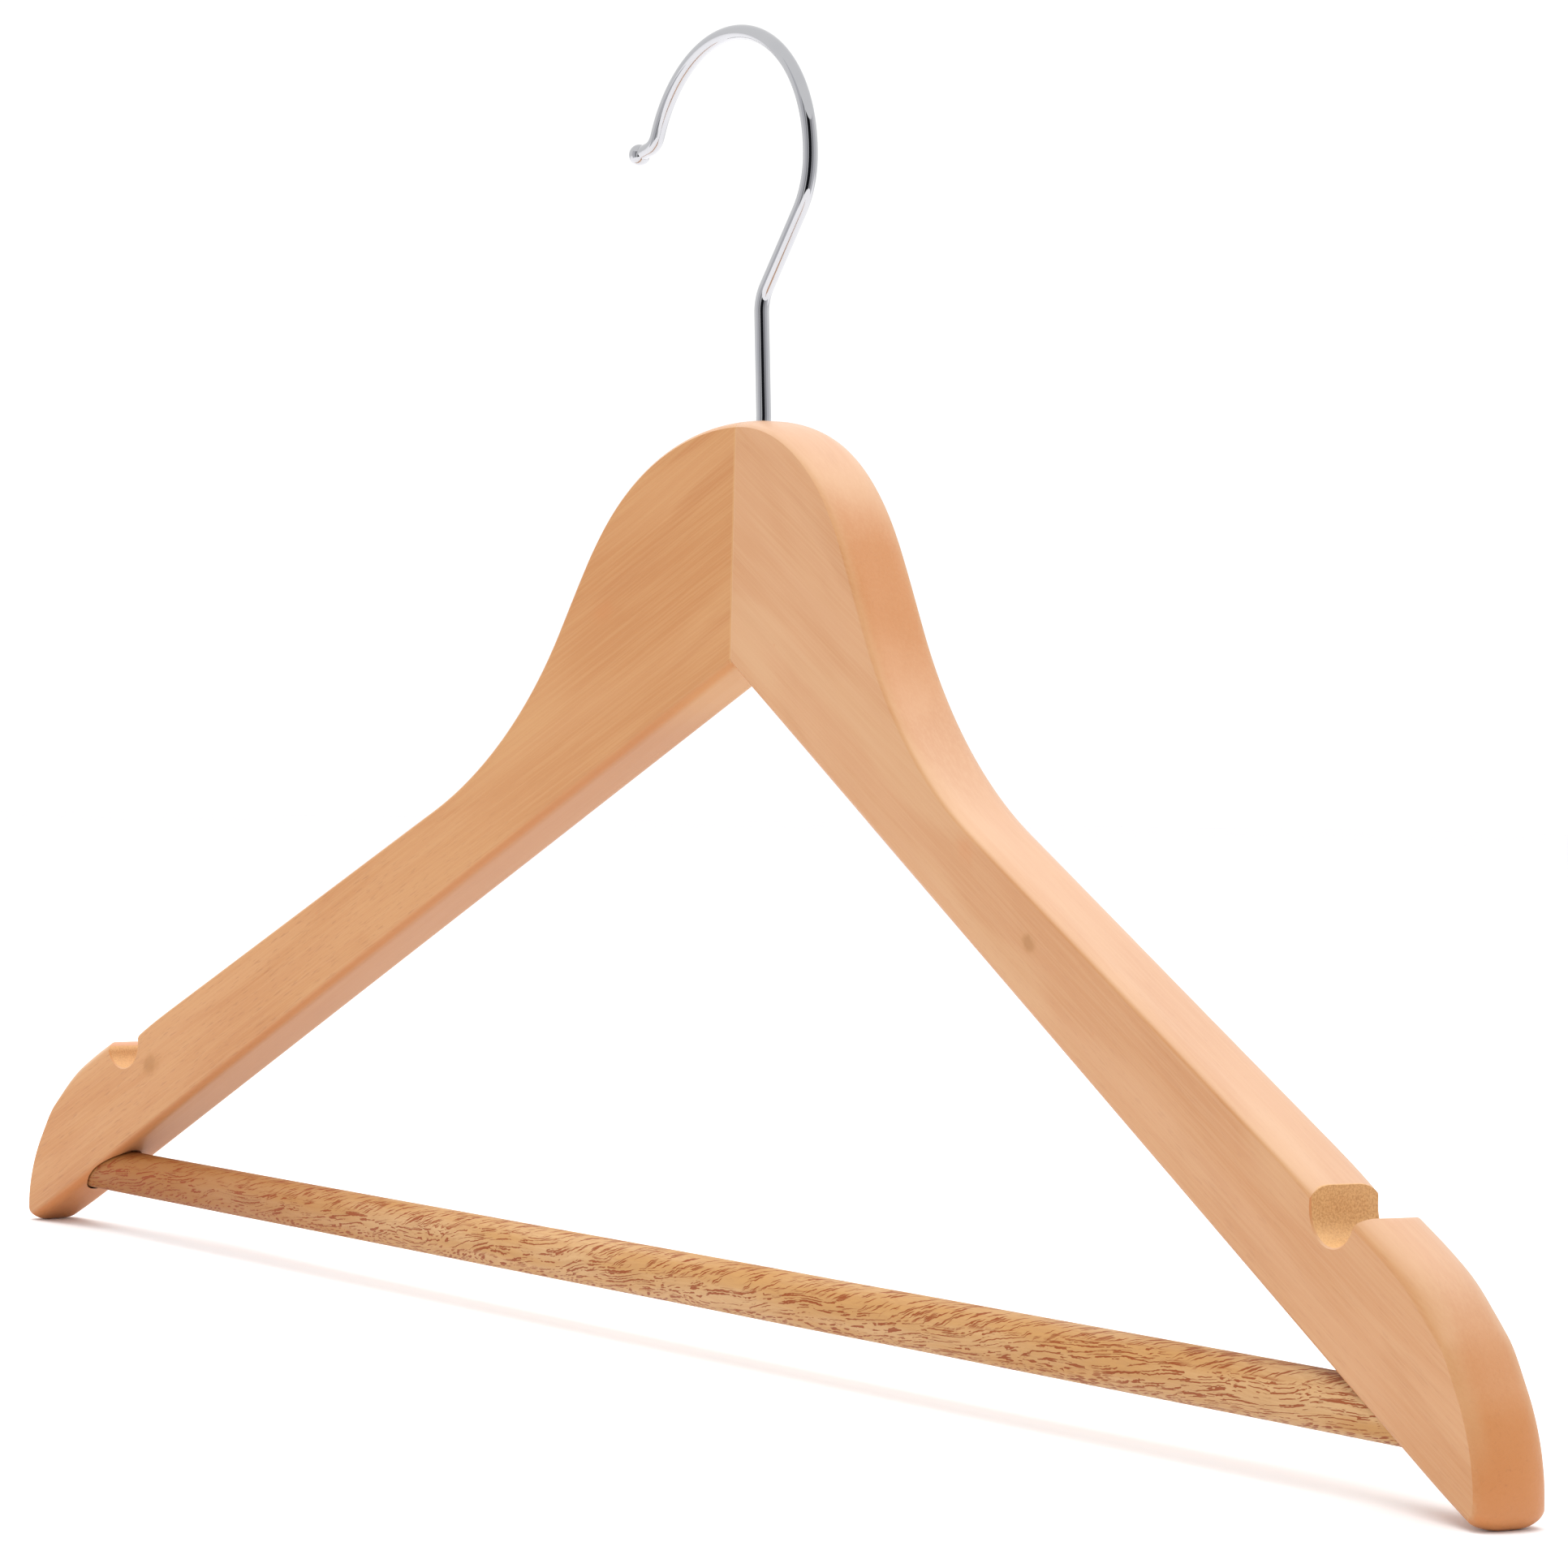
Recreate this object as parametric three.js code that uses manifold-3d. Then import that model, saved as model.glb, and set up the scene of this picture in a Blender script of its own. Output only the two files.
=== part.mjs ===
// A contoured wooden clothes hanger: two mirrored boards glued at the middle, a round trouser bar,
// and a chrome wire hook that swivels on its shank. Millimetres, +Z up, +X along the hanger's length.
// The boards lean forward (-Y) from the middle, so that the plan view is a shallow V.
// The origin is the inside top of the hook's loop, where the hanger rests on a rail.
import * as THREE from 'three';
import { mergeVertices } from 'three/addons/utils/BufferGeometryUtils.js';
import Module from 'manifold-3d';

// ---- Driving dimensions -----------------------------------------------------------------------
// Heights are measured from the level of the tips until the whole group is moved at the end.

// arms
const ARM_THICKNESS = 12.1;
const ARM_PLAN_ANGLE = 7.2;        // each arm's lean forward from the seam, degrees
const ARM_REACH = 224;             // along the arm, from the seam to the outermost point of the tip
const EDGE_RADIUS = 1.3;           // rounding of every long edge
const CROWN_TOP = 162;
const CROWN_RADIUS = 47.9;
const NECK_ANGLE = 59.5;           // slope of the neck's flank below the crown, degrees
const WAIST_RADIUS = 87.5;         // hollow curve from neck to shoulder
const SHOULDER_ANGLE = 26.5;       // slope of the straight shoulder, degrees
const SHOULDER_HEIGHT = 133.5;     // where the shoulder's line would meet the seam
const TIP_TOP_RADIUS = 45;         // first, flatter curve of the tip
const TIP_TOP_SWEEP = 15.5;        // degrees
const TIP_END_RADIUS = 31;         // from there down to the vertical
const FOOT_RADIUS = 2.6;
const HUMP_HEIGHT = 3.1;           // the tip swells outside the notch, most at this height
const HUMP_MIDDLE = 35;
const HUMP_REACH = 17;             // and no longer this far above or below it
const UNDERSIDE_ANGLE = 28.3;      // slope of the straight underside, degrees
const CROTCH_HEIGHT = 118.1;       // where the two undersides meet at the seam

// strap notch, a half round with a straight wall on the neck side and a rounded lip on the tip side
const NOTCH_RADIUS = 5.3;
const NOTCH_REACH = 188;           // along the arm, to the middle of the notch
const NOTCH_HEIGHT = 39.4;
const NOTCH_LIP_RADIUS = 3.4;

// tongue of the right arm in the blind slot of the left arm
const TONGUE_THICKNESS = 6;
const TONGUE_LENGTH = 9;
const TONGUE_ROOT = 2;             // how far the tongue starts inside its own arm
const TONGUE_TOP = 151;
const TONGUE_BOTTOM = 127;

// trouser bar
const BAR_RADIUS = 4.5;
const BAR_FORWARD = 25.6;          // in front of the seam
const BAR_HEIGHT = 11.7;
const BAR_SHOULDER = 207.5;        // from the middle to the end of the full diameter
const TENON_RADIUS = 3;
const TENON_END = 213;

// brads through the tenons
const PIN_RADIUS = 0.7;
const PIN_HEAD_RADIUS = 1.1;
const PIN_HEAD_HEIGHT = 0.5;
const PIN_LENGTH = 7.4;
const PIN_POINT = 1.2;
const PIN_ACROSS = 210.3;          // from the middle
const PIN_SUNK = 0.3;              // head below the back face

// hook
const WIRE_RADIUS = 1.35;
const LOOP_RADIUS = 25.2;          // centre line of the wire
const LOOP_OFFSET = -12.7;         // loop's centre from the shank's axis
const LOOP_HEIGHT = 207.9;
const LOOP_END_ANGLE = 159.3;      // where the loop stops, degrees anticlockwise from +X
const HEEL_RADIUS = 15.2;          // tighter curve on the loop's lower right
const RISE_ANGLE = 36.8;           // lean of the straight rise below the heel, degrees
const BEND_RADIUS = 7;             // bend between shank and rise
const FLARE_RADIUS = 3.5;          // outward curl before the ball
const FLARE_ANGLE = 56.8;
const FLARE_LENGTH = 3.5;
const BALL_RADIUS = 2;
const SHANK_LEAN = 4.2;            // lean of the free shank away from the rise, degrees
const SHANK_BOTTOM = 131.5;
const SHANK_LEAN_START = 163;      // just above the crown

// collar and its pocket
const HEAD_RADIUS = 2.2;
const HEAD_HEIGHT = 1.2;
const NUT_FLATS = 5.5;
const NUT_HEIGHT = 2.4;
const POCKET_RADIUS = 3.6;
const POCKET_BOTTOM = 130.5;
const POCKET_TOP = 136.4;

const GAP = 0.3;                   // clearance between pieces that touch
const SPARE = 10;                  // cutters run this far past the surface that they open
const PAST_SEAM = 12;              // the outline runs on this far before the seam is cut

// facets
const CROWN_SEGMENTS = 14;
const WAIST_SEGMENTS = 8;
const NOTCH_SEGMENTS = 10;
const LIP_SEGMENTS = 5;
const TIP_TOP_SEGMENTS = 4;
const TIP_END_SEGMENTS = 10;
const TIP_SHOULDER_SEGMENTS = 4;
const FOOT_SEGMENTS = 5;
const EDGE_SEGMENTS = 3;
const ROUND_SEGMENTS = 24;
const WIRE_SIDES = 12;
const WIRE_STEPS = 90;
const NUT_SIDES = 6;

// ---- Helpers ----------------------------------------------------------------------------------

const wasm = await Module();
wasm.setup();

const radians = THREE.MathUtils.degToRad;

// A closed three.js geometry as a solid that can be joined and cut.
function solid(geometry) {
  const bare = geometry.clone();
  bare.deleteAttribute('normal');
  bare.deleteAttribute('uv');
  const merged = mergeVertices(bare, 1e-4);
  const vertProperties = new Float32Array(merged.attributes.position.array);
  const triVerts = new Uint32Array(merged.index.array);
  return new wasm.Manifold(new wasm.Mesh({ numProp: 3, vertProperties, triVerts }));
}

// A solid as a named three.js mesh.
function named(name, body, material) {
  const { vertProperties, triVerts } = body.getMesh();
  const geometry = new THREE.BufferGeometry();
  geometry.setAttribute('position', new THREE.BufferAttribute(new Float32Array(vertProperties), 3));
  geometry.setIndex(new THREE.BufferAttribute(new Uint32Array(triVerts), 1));
  geometry.computeVertexNormals();
  const mesh = new THREE.Mesh(geometry, material);
  mesh.name = name;
  return mesh;
}

// A unit step at an angle in the drawing plane.
function heading(degrees) {
  return new THREE.Vector2(Math.cos(radians(degrees)), Math.sin(radians(degrees)));
}

// Points of an arc, ends included.
function arc(centre, radius, from, to, segments) {
  const points = [];
  for (let i = 0; i <= segments; i++) {
    const angle = from + ((to - from) * i) / segments;
    points.push(heading(angle).multiplyScalar(radius).add(centre));
  }
  return points;
}

// Where two lines cross, each given by a point and its heading in degrees.
function crossing(a, headingA, b, headingB) {
  const u = heading(headingA);
  const v = heading(headingB);
  const along = new THREE.Vector2().subVectors(b, a).cross(v) / u.cross(v);
  return u.multiplyScalar(along).add(a);
}

// A round rod along Y, centred on the origin.
function roundBar(radius, length) {
  return new THREE.CylinderGeometry(radius, radius, length, ROUND_SEGMENTS);
}

// ---- Arms -------------------------------------------------------------------------------------

// Height of the straight shoulder line, a distance along the arm from the seam.
function shoulderLine(along) {
  return SHOULDER_HEIGHT - along * Math.tan(radians(SHOULDER_ANGLE));
}

function undersideLine(along) {
  return CROTCH_HEIGHT - along * Math.tan(radians(UNDERSIDE_ANGLE));
}

// Centre of the foot's small round, tangent to the vertical end of the tip and to the underside.
function footCentre() {
  const slope = radians(UNDERSIDE_ANGLE);
  const along = ARM_REACH - FOOT_RADIUS;
  return new THREE.Vector2(along, undersideLine(along) + FOOT_RADIUS / Math.cos(slope));
}

// Moves the points of the tip outward to its hump.
function swell(points) {
  return points.map((point, i) => {
    const before = points[Math.max(i - 1, 0)];
    const after = points[Math.min(i + 1, points.length - 1)];
    const along = after.clone().sub(before).normalize();
    const out = new THREE.Vector2(along.y, -along.x);
    const share = Math.min(Math.abs(point.y - HUMP_MIDDLE) / HUMP_REACH, 1);
    return point.clone().addScaledVector(out, HUMP_HEIGHT * Math.cos(share * Math.PI / 2) ** 2);
  });
}

// The tip's two curves run from the vertical end back up to the shoulder line, tangent to both.
// The hump's end is a step inside the notch.
function tipPoints() {
  const start = 90 - SHOULDER_ANGLE;
  const middle = start - TIP_TOP_SWEEP;
  const hub = heading(middle).multiplyScalar(TIP_TOP_RADIUS - TIP_END_RADIUS);
  const topAlong = ARM_REACH - TIP_END_RADIUS - hub.x;
  const topHeight = shoulderLine(topAlong) - TIP_TOP_RADIUS / Math.cos(radians(SHOULDER_ANGLE));
  const topCentre = new THREE.Vector2(topAlong, topHeight);
  const endCentre = topCentre.clone().add(hub);
  const top = arc(topCentre, TIP_TOP_RADIUS, middle, start, TIP_TOP_SEGMENTS);
  const overNotch = new THREE.Vector2(NOTCH_REACH, shoulderLine(NOTCH_REACH));
  const shoulder = [];
  for (let i = 1; i <= TIP_SHOULDER_SEGMENTS; i += 1) {
    shoulder.push(top[TIP_TOP_SEGMENTS].clone().lerp(overNotch, i / TIP_SHOULDER_SEGMENTS));
  }
  const end = arc(endCentre, TIP_END_RADIUS, 0, middle, TIP_END_SEGMENTS);
  const step = new THREE.Vector2(NOTCH_REACH - 1, shoulderLine(NOTCH_REACH - 1));
  return [...swell([...end, ...top.slice(1), ...shoulder]), step];
}

// The cutter of the strap notch. The lip is tangent to the notch's round and to the hump.
function notch() {
  const centre = new THREE.Vector2(NOTCH_REACH, NOTCH_HEIGHT);
  const out = heading(90 - SHOULDER_ANGLE);
  const depth = (shoulderLine(NOTCH_REACH) - NOTCH_HEIGHT) * out.y;
  const sunk = depth + HUMP_HEIGHT - NOTCH_LIP_RADIUS;
  const reach = Math.sqrt((NOTCH_RADIUS + NOTCH_LIP_RADIUS) ** 2 - sunk ** 2);
  const toLip = heading(-SHOULDER_ANGLE).multiplyScalar(reach).addScaledVector(out, sunk);
  const meeting = THREE.MathUtils.radToDeg(toLip.angle()) - 360;
  const lipCentre = centre.clone().add(toLip);
  const round = arc(centre, NOTCH_RADIUS, -180, meeting, NOTCH_SEGMENTS);
  const lip = arc(lipCentre, NOTCH_LIP_RADIUS, meeting + 180, 90 - SHOULDER_ANGLE, LIP_SEGMENTS);
  const neckTop = round[0].clone().add(new THREE.Vector2(0, SPARE));
  return [...round, ...lip.slice(1), lip[LIP_SEGMENTS].clone().add(out), neckTop];
}

// The hollow waist is tangent to the shoulder and to the neck's straight flank.
function waistPoints() {
  const crownCentre = new THREE.Vector2(0, CROWN_TOP - CROWN_RADIUS);
  const crownEnd = heading(90 - NECK_ANGLE).multiplyScalar(CROWN_RADIUS).add(crownCentre);
  const corner = crossing(crownEnd, -NECK_ANGLE, new THREE.Vector2(0, SHOULDER_HEIGHT), -SHOULDER_ANGLE);
  const reach = WAIST_RADIUS * Math.tan(radians((NECK_ANGLE - SHOULDER_ANGLE) / 2));
  const shoulderEnd = heading(-SHOULDER_ANGLE).multiplyScalar(reach).add(corner);
  const centre = heading(90 - SHOULDER_ANGLE).multiplyScalar(WAIST_RADIUS).add(shoulderEnd);
  return arc(centre, WAIST_RADIUS, -90 - SHOULDER_ANGLE, -90 - NECK_ANGLE, WAIST_SEGMENTS);
}

// Side view of one arm, anticlockwise, running on past the seam so that the seam can be cut square.
function armOutline() {
  const crownCentre = new THREE.Vector2(0, CROWN_TOP - CROWN_RADIUS);
  const crownStop = 90 + THREE.MathUtils.radToDeg(Math.asin(PAST_SEAM / CROWN_RADIUS));
  return [
    new THREE.Vector2(-PAST_SEAM, undersideLine(-PAST_SEAM)),
    ...arc(footCentre(), FOOT_RADIUS, -90 - UNDERSIDE_ANGLE, 0, FOOT_SEGMENTS),
    ...tipPoints(),
    ...waistPoints(),
    ...arc(crownCentre, CROWN_RADIUS, 90 - NECK_ANGLE, crownStop, CROWN_SEGMENTS),
  ];
}

// A flat outline as a board of the arm's thickness, leaning forward. side is +1 right, -1 left.
function leaningBoard(outline, side, options) {
  const points = outline.map((p) => new THREE.Vector2(side * p.x, p.y));
  if (side < 0) points.reverse();
  const geometry = new THREE.ExtrudeGeometry(new THREE.Shape(points), options);
  geometry.computeBoundingBox();
  const { min, max } = geometry.boundingBox;
  geometry.translate(0, 0, -(min.z + max.z) / 2);
  geometry.rotateX(Math.PI / 2);
  geometry.rotateZ(-side * radians(ARM_PLAN_ANGLE));
  return solid(geometry);
}

// One board with rounded edges, notched and cut off at the seam.
function board(side) {
  const blank = leaningBoard(armOutline(), side, {
    depth: ARM_THICKNESS - 2 * EDGE_RADIUS,
    bevelThickness: EDGE_RADIUS,
    bevelSize: EDGE_RADIUS,
    bevelOffset: -EDGE_RADIUS,
    bevelSegments: EDGE_SEGMENTS,
  });
  const notchCutter = leaningBoard(notch(), side, { depth: 2 * ARM_THICKNESS, bevelEnabled: false });
  const otherSide = new THREE.BoxGeometry(4 * PAST_SEAM, 4 * PAST_SEAM, 2 * CROWN_TOP);
  otherSide.translate(-side * 2 * PAST_SEAM, 0, CROWN_TOP);
  return blank.subtract(notchCutter).subtract(solid(otherSide));
}

// The tongue's end slants with the crown. grow widens it into the slot's cutter.
function tongue(grow) {
  const end = -TONGUE_LENGTH - grow;
  const low = TONGUE_BOTTOM - grow;
  const high = TONGUE_TOP + grow;
  const shape = new THREE.Shape([
    new THREE.Vector2(end, low),
    new THREE.Vector2(TONGUE_ROOT, low),
    new THREE.Vector2(TONGUE_ROOT, high),
    new THREE.Vector2(end, high - TONGUE_LENGTH / 2),
  ]);
  const depth = TONGUE_THICKNESS + 2 * grow;
  const geometry = new THREE.ExtrudeGeometry(shape, { depth, bevelEnabled: false });
  geometry.translate(0, 0, -depth / 2);
  geometry.rotateX(Math.PI / 2);
  return solid(geometry);
}

// The shank's bore from the crown, and the round pocket that its collar turns in.
function hookBore() {
  const top = CROWN_TOP + SPARE;
  const bore = roundBar(WIRE_RADIUS + GAP, top - POCKET_BOTTOM);
  bore.rotateX(Math.PI / 2);
  bore.translate(0, 0, (top + POCKET_BOTTOM) / 2);
  const pocket = roundBar(POCKET_RADIUS, POCKET_TOP - POCKET_BOTTOM);
  pocket.rotateX(Math.PI / 2);
  pocket.translate(0, 0, (POCKET_TOP + POCKET_BOTTOM) / 2);
  return solid(bore).add(solid(pocket));
}

// The stepped blind socket for one end of the bar.
function barSocket(side) {
  const mouthDepth = 4 * SPARE;
  const mouth = roundBar(BAR_RADIUS + GAP, mouthDepth);
  mouth.rotateZ(Math.PI / 2);
  mouth.translate(side * (BAR_SHOULDER + GAP - mouthDepth / 2), -BAR_FORWARD, BAR_HEIGHT);
  const hole = roundBar(TENON_RADIUS + GAP, SPARE);
  hole.rotateZ(Math.PI / 2);
  hole.translate(side * (TENON_END + GAP - SPARE / 2), -BAR_FORWARD, BAR_HEIGHT);
  return solid(mouth).add(solid(hole));
}

// ---- Brads ------------------------------------------------------------------------------------

// Y of an arm's back face at the brad.
function backFaceAtPin() {
  const lean = radians(ARM_PLAN_ANGLE);
  return ARM_THICKNESS / 2 / Math.cos(lean) - PIN_ACROSS * Math.tan(lean);
}

// A brad along Y with its head at the back. grow widens it into the cutter of its hole.
function brad(side, grow) {
  const headTop = grow > 0 ? SPARE : -PIN_SUNK;
  const headBottom = -PIN_SUNK - PIN_HEAD_HEIGHT - grow;
  const tip = -PIN_SUNK - PIN_LENGTH - grow;
  const profile = [
    new THREE.Vector2(0, tip),
    new THREE.Vector2(PIN_RADIUS + grow, tip + PIN_POINT),
    new THREE.Vector2(PIN_RADIUS + grow, headBottom),
    new THREE.Vector2(PIN_HEAD_RADIUS + grow, headBottom),
    new THREE.Vector2(PIN_HEAD_RADIUS + grow, headTop),
    new THREE.Vector2(0, headTop),
  ];
  const geometry = new THREE.LatheGeometry(profile, WIRE_SIDES);
  geometry.translate(side * PIN_ACROSS, backFaceAtPin(), BAR_HEIGHT);
  return geometry;
}

// ---- Trouser bar ------------------------------------------------------------------------------

function trouserBar() {
  const profile = [
    new THREE.Vector2(0, -TENON_END),
    new THREE.Vector2(TENON_RADIUS, -TENON_END),
    new THREE.Vector2(TENON_RADIUS, -BAR_SHOULDER),
    new THREE.Vector2(BAR_RADIUS, -BAR_SHOULDER),
    new THREE.Vector2(BAR_RADIUS, BAR_SHOULDER),
    new THREE.Vector2(TENON_RADIUS, BAR_SHOULDER),
    new THREE.Vector2(TENON_RADIUS, TENON_END),
    new THREE.Vector2(0, TENON_END),
  ];
  const geometry = new THREE.LatheGeometry(profile, ROUND_SEGMENTS);
  geometry.rotateZ(-Math.PI / 2);
  geometry.translate(0, -BAR_FORWARD, BAR_HEIGHT);
  return solid(geometry);
}

// ---- Hook -------------------------------------------------------------------------------------

// The wire's centre line as a flat path in X and Z: shank, rise, heel, loop, flare.
function wirePath() {
  const heelCentre = new THREE.Vector2(LOOP_OFFSET + LOOP_RADIUS - HEEL_RADIUS, LOOP_HEIGHT);
  const riseTop = heading(-RISE_ANGLE).multiplyScalar(HEEL_RADIUS).add(heelCentre);
  const leanStart = new THREE.Vector2(0, SHANK_LEAN_START);
  const corner = crossing(leanStart, 90 + SHANK_LEAN, riseTop, 90 - RISE_ANGLE);
  const cut = BEND_RADIUS * Math.tan(radians((RISE_ANGLE + SHANK_LEAN) / 2));
  const bendStart = heading(90 + SHANK_LEAN).multiplyScalar(-cut).add(corner);
  const bendCentre = heading(SHANK_LEAN).multiplyScalar(BEND_RADIUS).add(bendStart);
  const loopEnd = heading(LOOP_END_ANGLE).multiplyScalar(LOOP_RADIUS + FLARE_RADIUS);
  const flareCentre = loopEnd.add(new THREE.Vector2(LOOP_OFFSET, LOOP_HEIGHT));
  const flareStart = LOOP_END_ANGLE + 180;
  const flareStop = flareStart - FLARE_ANGLE;
  const tail = heading(flareStop - 90).multiplyScalar(FLARE_LENGTH);
  const tailEnd = heading(flareStop).multiplyScalar(FLARE_RADIUS).add(flareCentre).add(tail);
  const path = new THREE.Path();
  path.moveTo(0, SHANK_BOTTOM);
  path.lineTo(leanStart.x, leanStart.y);
  path.lineTo(bendStart.x, bendStart.y);
  path.absarc(bendCentre.x, bendCentre.y, BEND_RADIUS,
    radians(180 + SHANK_LEAN), radians(180 - RISE_ANGLE), true);
  path.lineTo(riseTop.x, riseTop.y);
  path.absarc(heelCentre.x, heelCentre.y, HEEL_RADIUS, radians(-RISE_ANGLE), 0, false);
  path.absarc(LOOP_OFFSET, LOOP_HEIGHT, LOOP_RADIUS, 0, radians(LOOP_END_ANGLE), false);
  path.absarc(flareCentre.x, flareCentre.y, FLARE_RADIUS, radians(flareStart), radians(flareStop), true);
  path.lineTo(tailEnd.x, tailEnd.y);
  return { path, tailEnd };
}

// Stands a flat path up in the plane of the seam's height and the hanger's length.
class UprightCurve extends THREE.Curve {
  constructor(path) {
    super();
    this.path = path;
  }

  getPoint(t, target = new THREE.Vector3()) {
    const p = this.path.getPointAt(t);
    return target.set(p.x, 0, p.y);
  }
}

function hook() {
  const { path, tailEnd } = wirePath();
  const section = new THREE.Shape(arc(new THREE.Vector2(), WIRE_RADIUS, 0, 360, WIRE_SIDES).slice(1));
  const wire = new THREE.ExtrudeGeometry(section, {
    extrudePath: new UprightCurve(path),
    steps: WIRE_STEPS,
  });
  const ball = new THREE.SphereGeometry(BALL_RADIUS, ROUND_SEGMENTS, WIRE_SIDES);
  ball.translate(tailEnd.x, 0, tailEnd.y);
  const head = roundBar(HEAD_RADIUS, HEAD_HEIGHT);
  head.rotateX(Math.PI / 2);
  head.translate(0, 0, SHANK_BOTTOM + HEAD_HEIGHT / 2);
  return solid(wire).add(solid(ball)).add(solid(head));
}

function hookNut() {
  const corners = NUT_FLATS / 2 / Math.cos(Math.PI / NUT_SIDES);
  const shape = new THREE.Shape(arc(new THREE.Vector2(), corners, 0, 360, NUT_SIDES).slice(1));
  const hole = arc(new THREE.Vector2(), WIRE_RADIUS + GAP, 0, 360, ROUND_SEGMENTS).slice(1);
  shape.holes.push(new THREE.Path(hole));
  const geometry = new THREE.ExtrudeGeometry(shape, { depth: NUT_HEIGHT, bevelEnabled: false });
  geometry.translate(0, 0, SHANK_BOTTOM + HEAD_HEIGHT + GAP);
  return solid(geometry);
}

// ---- Materials --------------------------------------------------------------------------------

const armWood = new THREE.MeshStandardMaterial({ color: 0xe2ab7d, roughness: 0.45, metalness: 0 });
const barWood = new THREE.MeshStandardMaterial({ color: 0xbf8c5b, roughness: 0.6, metalness: 0 });
const chrome = new THREE.MeshStandardMaterial({ color: 0xd8d6d3, roughness: 0.12, metalness: 1 });
const steel = new THREE.MeshStandardMaterial({ color: 0xa6a6a4, roughness: 0.35, metalness: 1 });

// ---- Assembly ---------------------------------------------------------------------------------

function arm(side, material) {
  let body = board(side);
  body = side > 0 ? body.add(tongue(0)) : body.subtract(tongue(GAP));
  body = body.subtract(hookBore()).subtract(barSocket(side)).subtract(solid(brad(side, GAP)));
  return named(side > 0 ? 'right_arm' : 'left_arm', body, material);
}

const hanger = new THREE.Group();
hanger.position.set(-LOOP_OFFSET, 0, -(LOOP_HEIGHT + LOOP_RADIUS - WIRE_RADIUS));

let bar = trouserBar();
for (const side of [-1, 1]) {
  hanger.add(arm(side, armWood));
  hanger.add(named(side > 0 ? 'bar_pin_right' : 'bar_pin_left', solid(brad(side, 0)), steel));
  bar = bar.subtract(solid(brad(side, GAP)));
}
hanger.add(named('trouser_bar', bar, barWood));
hanger.add(named('hook', hook(), chrome));
hanger.add(named('hook_nut', hookNut(), steel));

const model = new THREE.Group();
model.add(hanger);

export default model;
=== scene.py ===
"""A contoured wooden clothes hanger with a chrome swivel hook and a round trouser bar.

The boards, the bar, the wire hook and the small steel parts are rebuilt finely in the places
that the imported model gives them. Lengths are millimetres until a mesh is made, which is in metres.
"""

import math

import bmesh
import bpy
from mathutils import Matrix, Vector, noise


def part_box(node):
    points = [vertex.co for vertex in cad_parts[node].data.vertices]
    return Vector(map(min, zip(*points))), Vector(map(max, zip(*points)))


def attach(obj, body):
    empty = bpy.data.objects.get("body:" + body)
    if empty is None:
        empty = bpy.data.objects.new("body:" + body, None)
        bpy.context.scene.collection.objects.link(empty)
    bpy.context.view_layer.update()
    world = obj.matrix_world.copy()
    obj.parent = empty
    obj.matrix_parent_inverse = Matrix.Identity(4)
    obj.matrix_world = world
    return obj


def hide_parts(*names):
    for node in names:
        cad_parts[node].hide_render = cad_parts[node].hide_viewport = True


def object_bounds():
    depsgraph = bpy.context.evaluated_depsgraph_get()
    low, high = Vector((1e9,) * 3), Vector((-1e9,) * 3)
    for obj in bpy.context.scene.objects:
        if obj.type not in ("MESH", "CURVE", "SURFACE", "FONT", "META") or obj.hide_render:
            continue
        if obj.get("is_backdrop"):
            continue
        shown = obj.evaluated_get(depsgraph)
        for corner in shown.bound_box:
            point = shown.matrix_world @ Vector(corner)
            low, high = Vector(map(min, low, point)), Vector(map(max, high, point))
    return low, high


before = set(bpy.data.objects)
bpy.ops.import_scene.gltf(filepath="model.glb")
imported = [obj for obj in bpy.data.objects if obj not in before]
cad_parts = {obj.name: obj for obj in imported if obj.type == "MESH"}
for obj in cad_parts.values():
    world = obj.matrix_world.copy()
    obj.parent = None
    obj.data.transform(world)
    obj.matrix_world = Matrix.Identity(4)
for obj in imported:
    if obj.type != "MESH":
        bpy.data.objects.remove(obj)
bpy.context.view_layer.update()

# ---- Driving dimensions, heights from the level of the tips -------------------------------------

MM = 0.001

# arms
ARM_THICKNESS = 12.1
ARM_PLAN_ANGLE = 7.2            # each arm's lean forward from the seam, degrees
ARM_REACH = 224
CROWN_TOP = 162
CROWN_RADIUS = 47.9
NECK_ANGLE = 59.5
WAIST_RADIUS = 87.5
SHOULDER_ANGLE = 26.5
SHOULDER_HEIGHT = 133.5
TIP_TOP_RADIUS = 45
TIP_TOP_SWEEP = 15.5
TIP_END_RADIUS = 31
FOOT_RADIUS = 2.6
UNDERSIDE_ANGLE = 28.3
CROTCH_HEIGHT = 118.1
PAST_SEAM = 12                  # how far the outline runs on before the seam is cut
SEAM_CHAMFER = 0.02
HUMP_HEIGHT = 3.1               # the tip swells outside the notch, most at this height
HUMP_MIDDLE = 35
HUMP_REACH = 17                 # and no longer this far above or below it

# rounding of the long edges: into the face, and across the thickness
CROWN_EDGE = (1.2, 5.0)
TOP_EDGE = (1.0, 3.0)
HUMP_EDGE = (2.9, 5.4)
TIP_EDGE = (1.7, 5.2)
FOOT_EDGE = (1.9, 4.8)
UNDERSIDE_EDGE = (1.2, 2.4)
EDGE_ARC = 62                   # the rounding meets the face at a soft corner, degrees turned
EDGE_STEPS = 8
EDGE_BLEND_PASSES = 14
ARRIS = 0.2                     # the corner itself is eased this far into the face
FLAT_MARGIN = 0.25              # flat rim that keeps the face's shading even

# strap notch
NOTCH_RADIUS = 5.3
NOTCH_REACH = 188.0
NOTCH_HEIGHT = 39.4
NOTCH_LIP_RADIUS = 3.4          # rounded off on the tip's side
NOTCH_RIM = 0.25                # chamfer of the notch's rims

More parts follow.
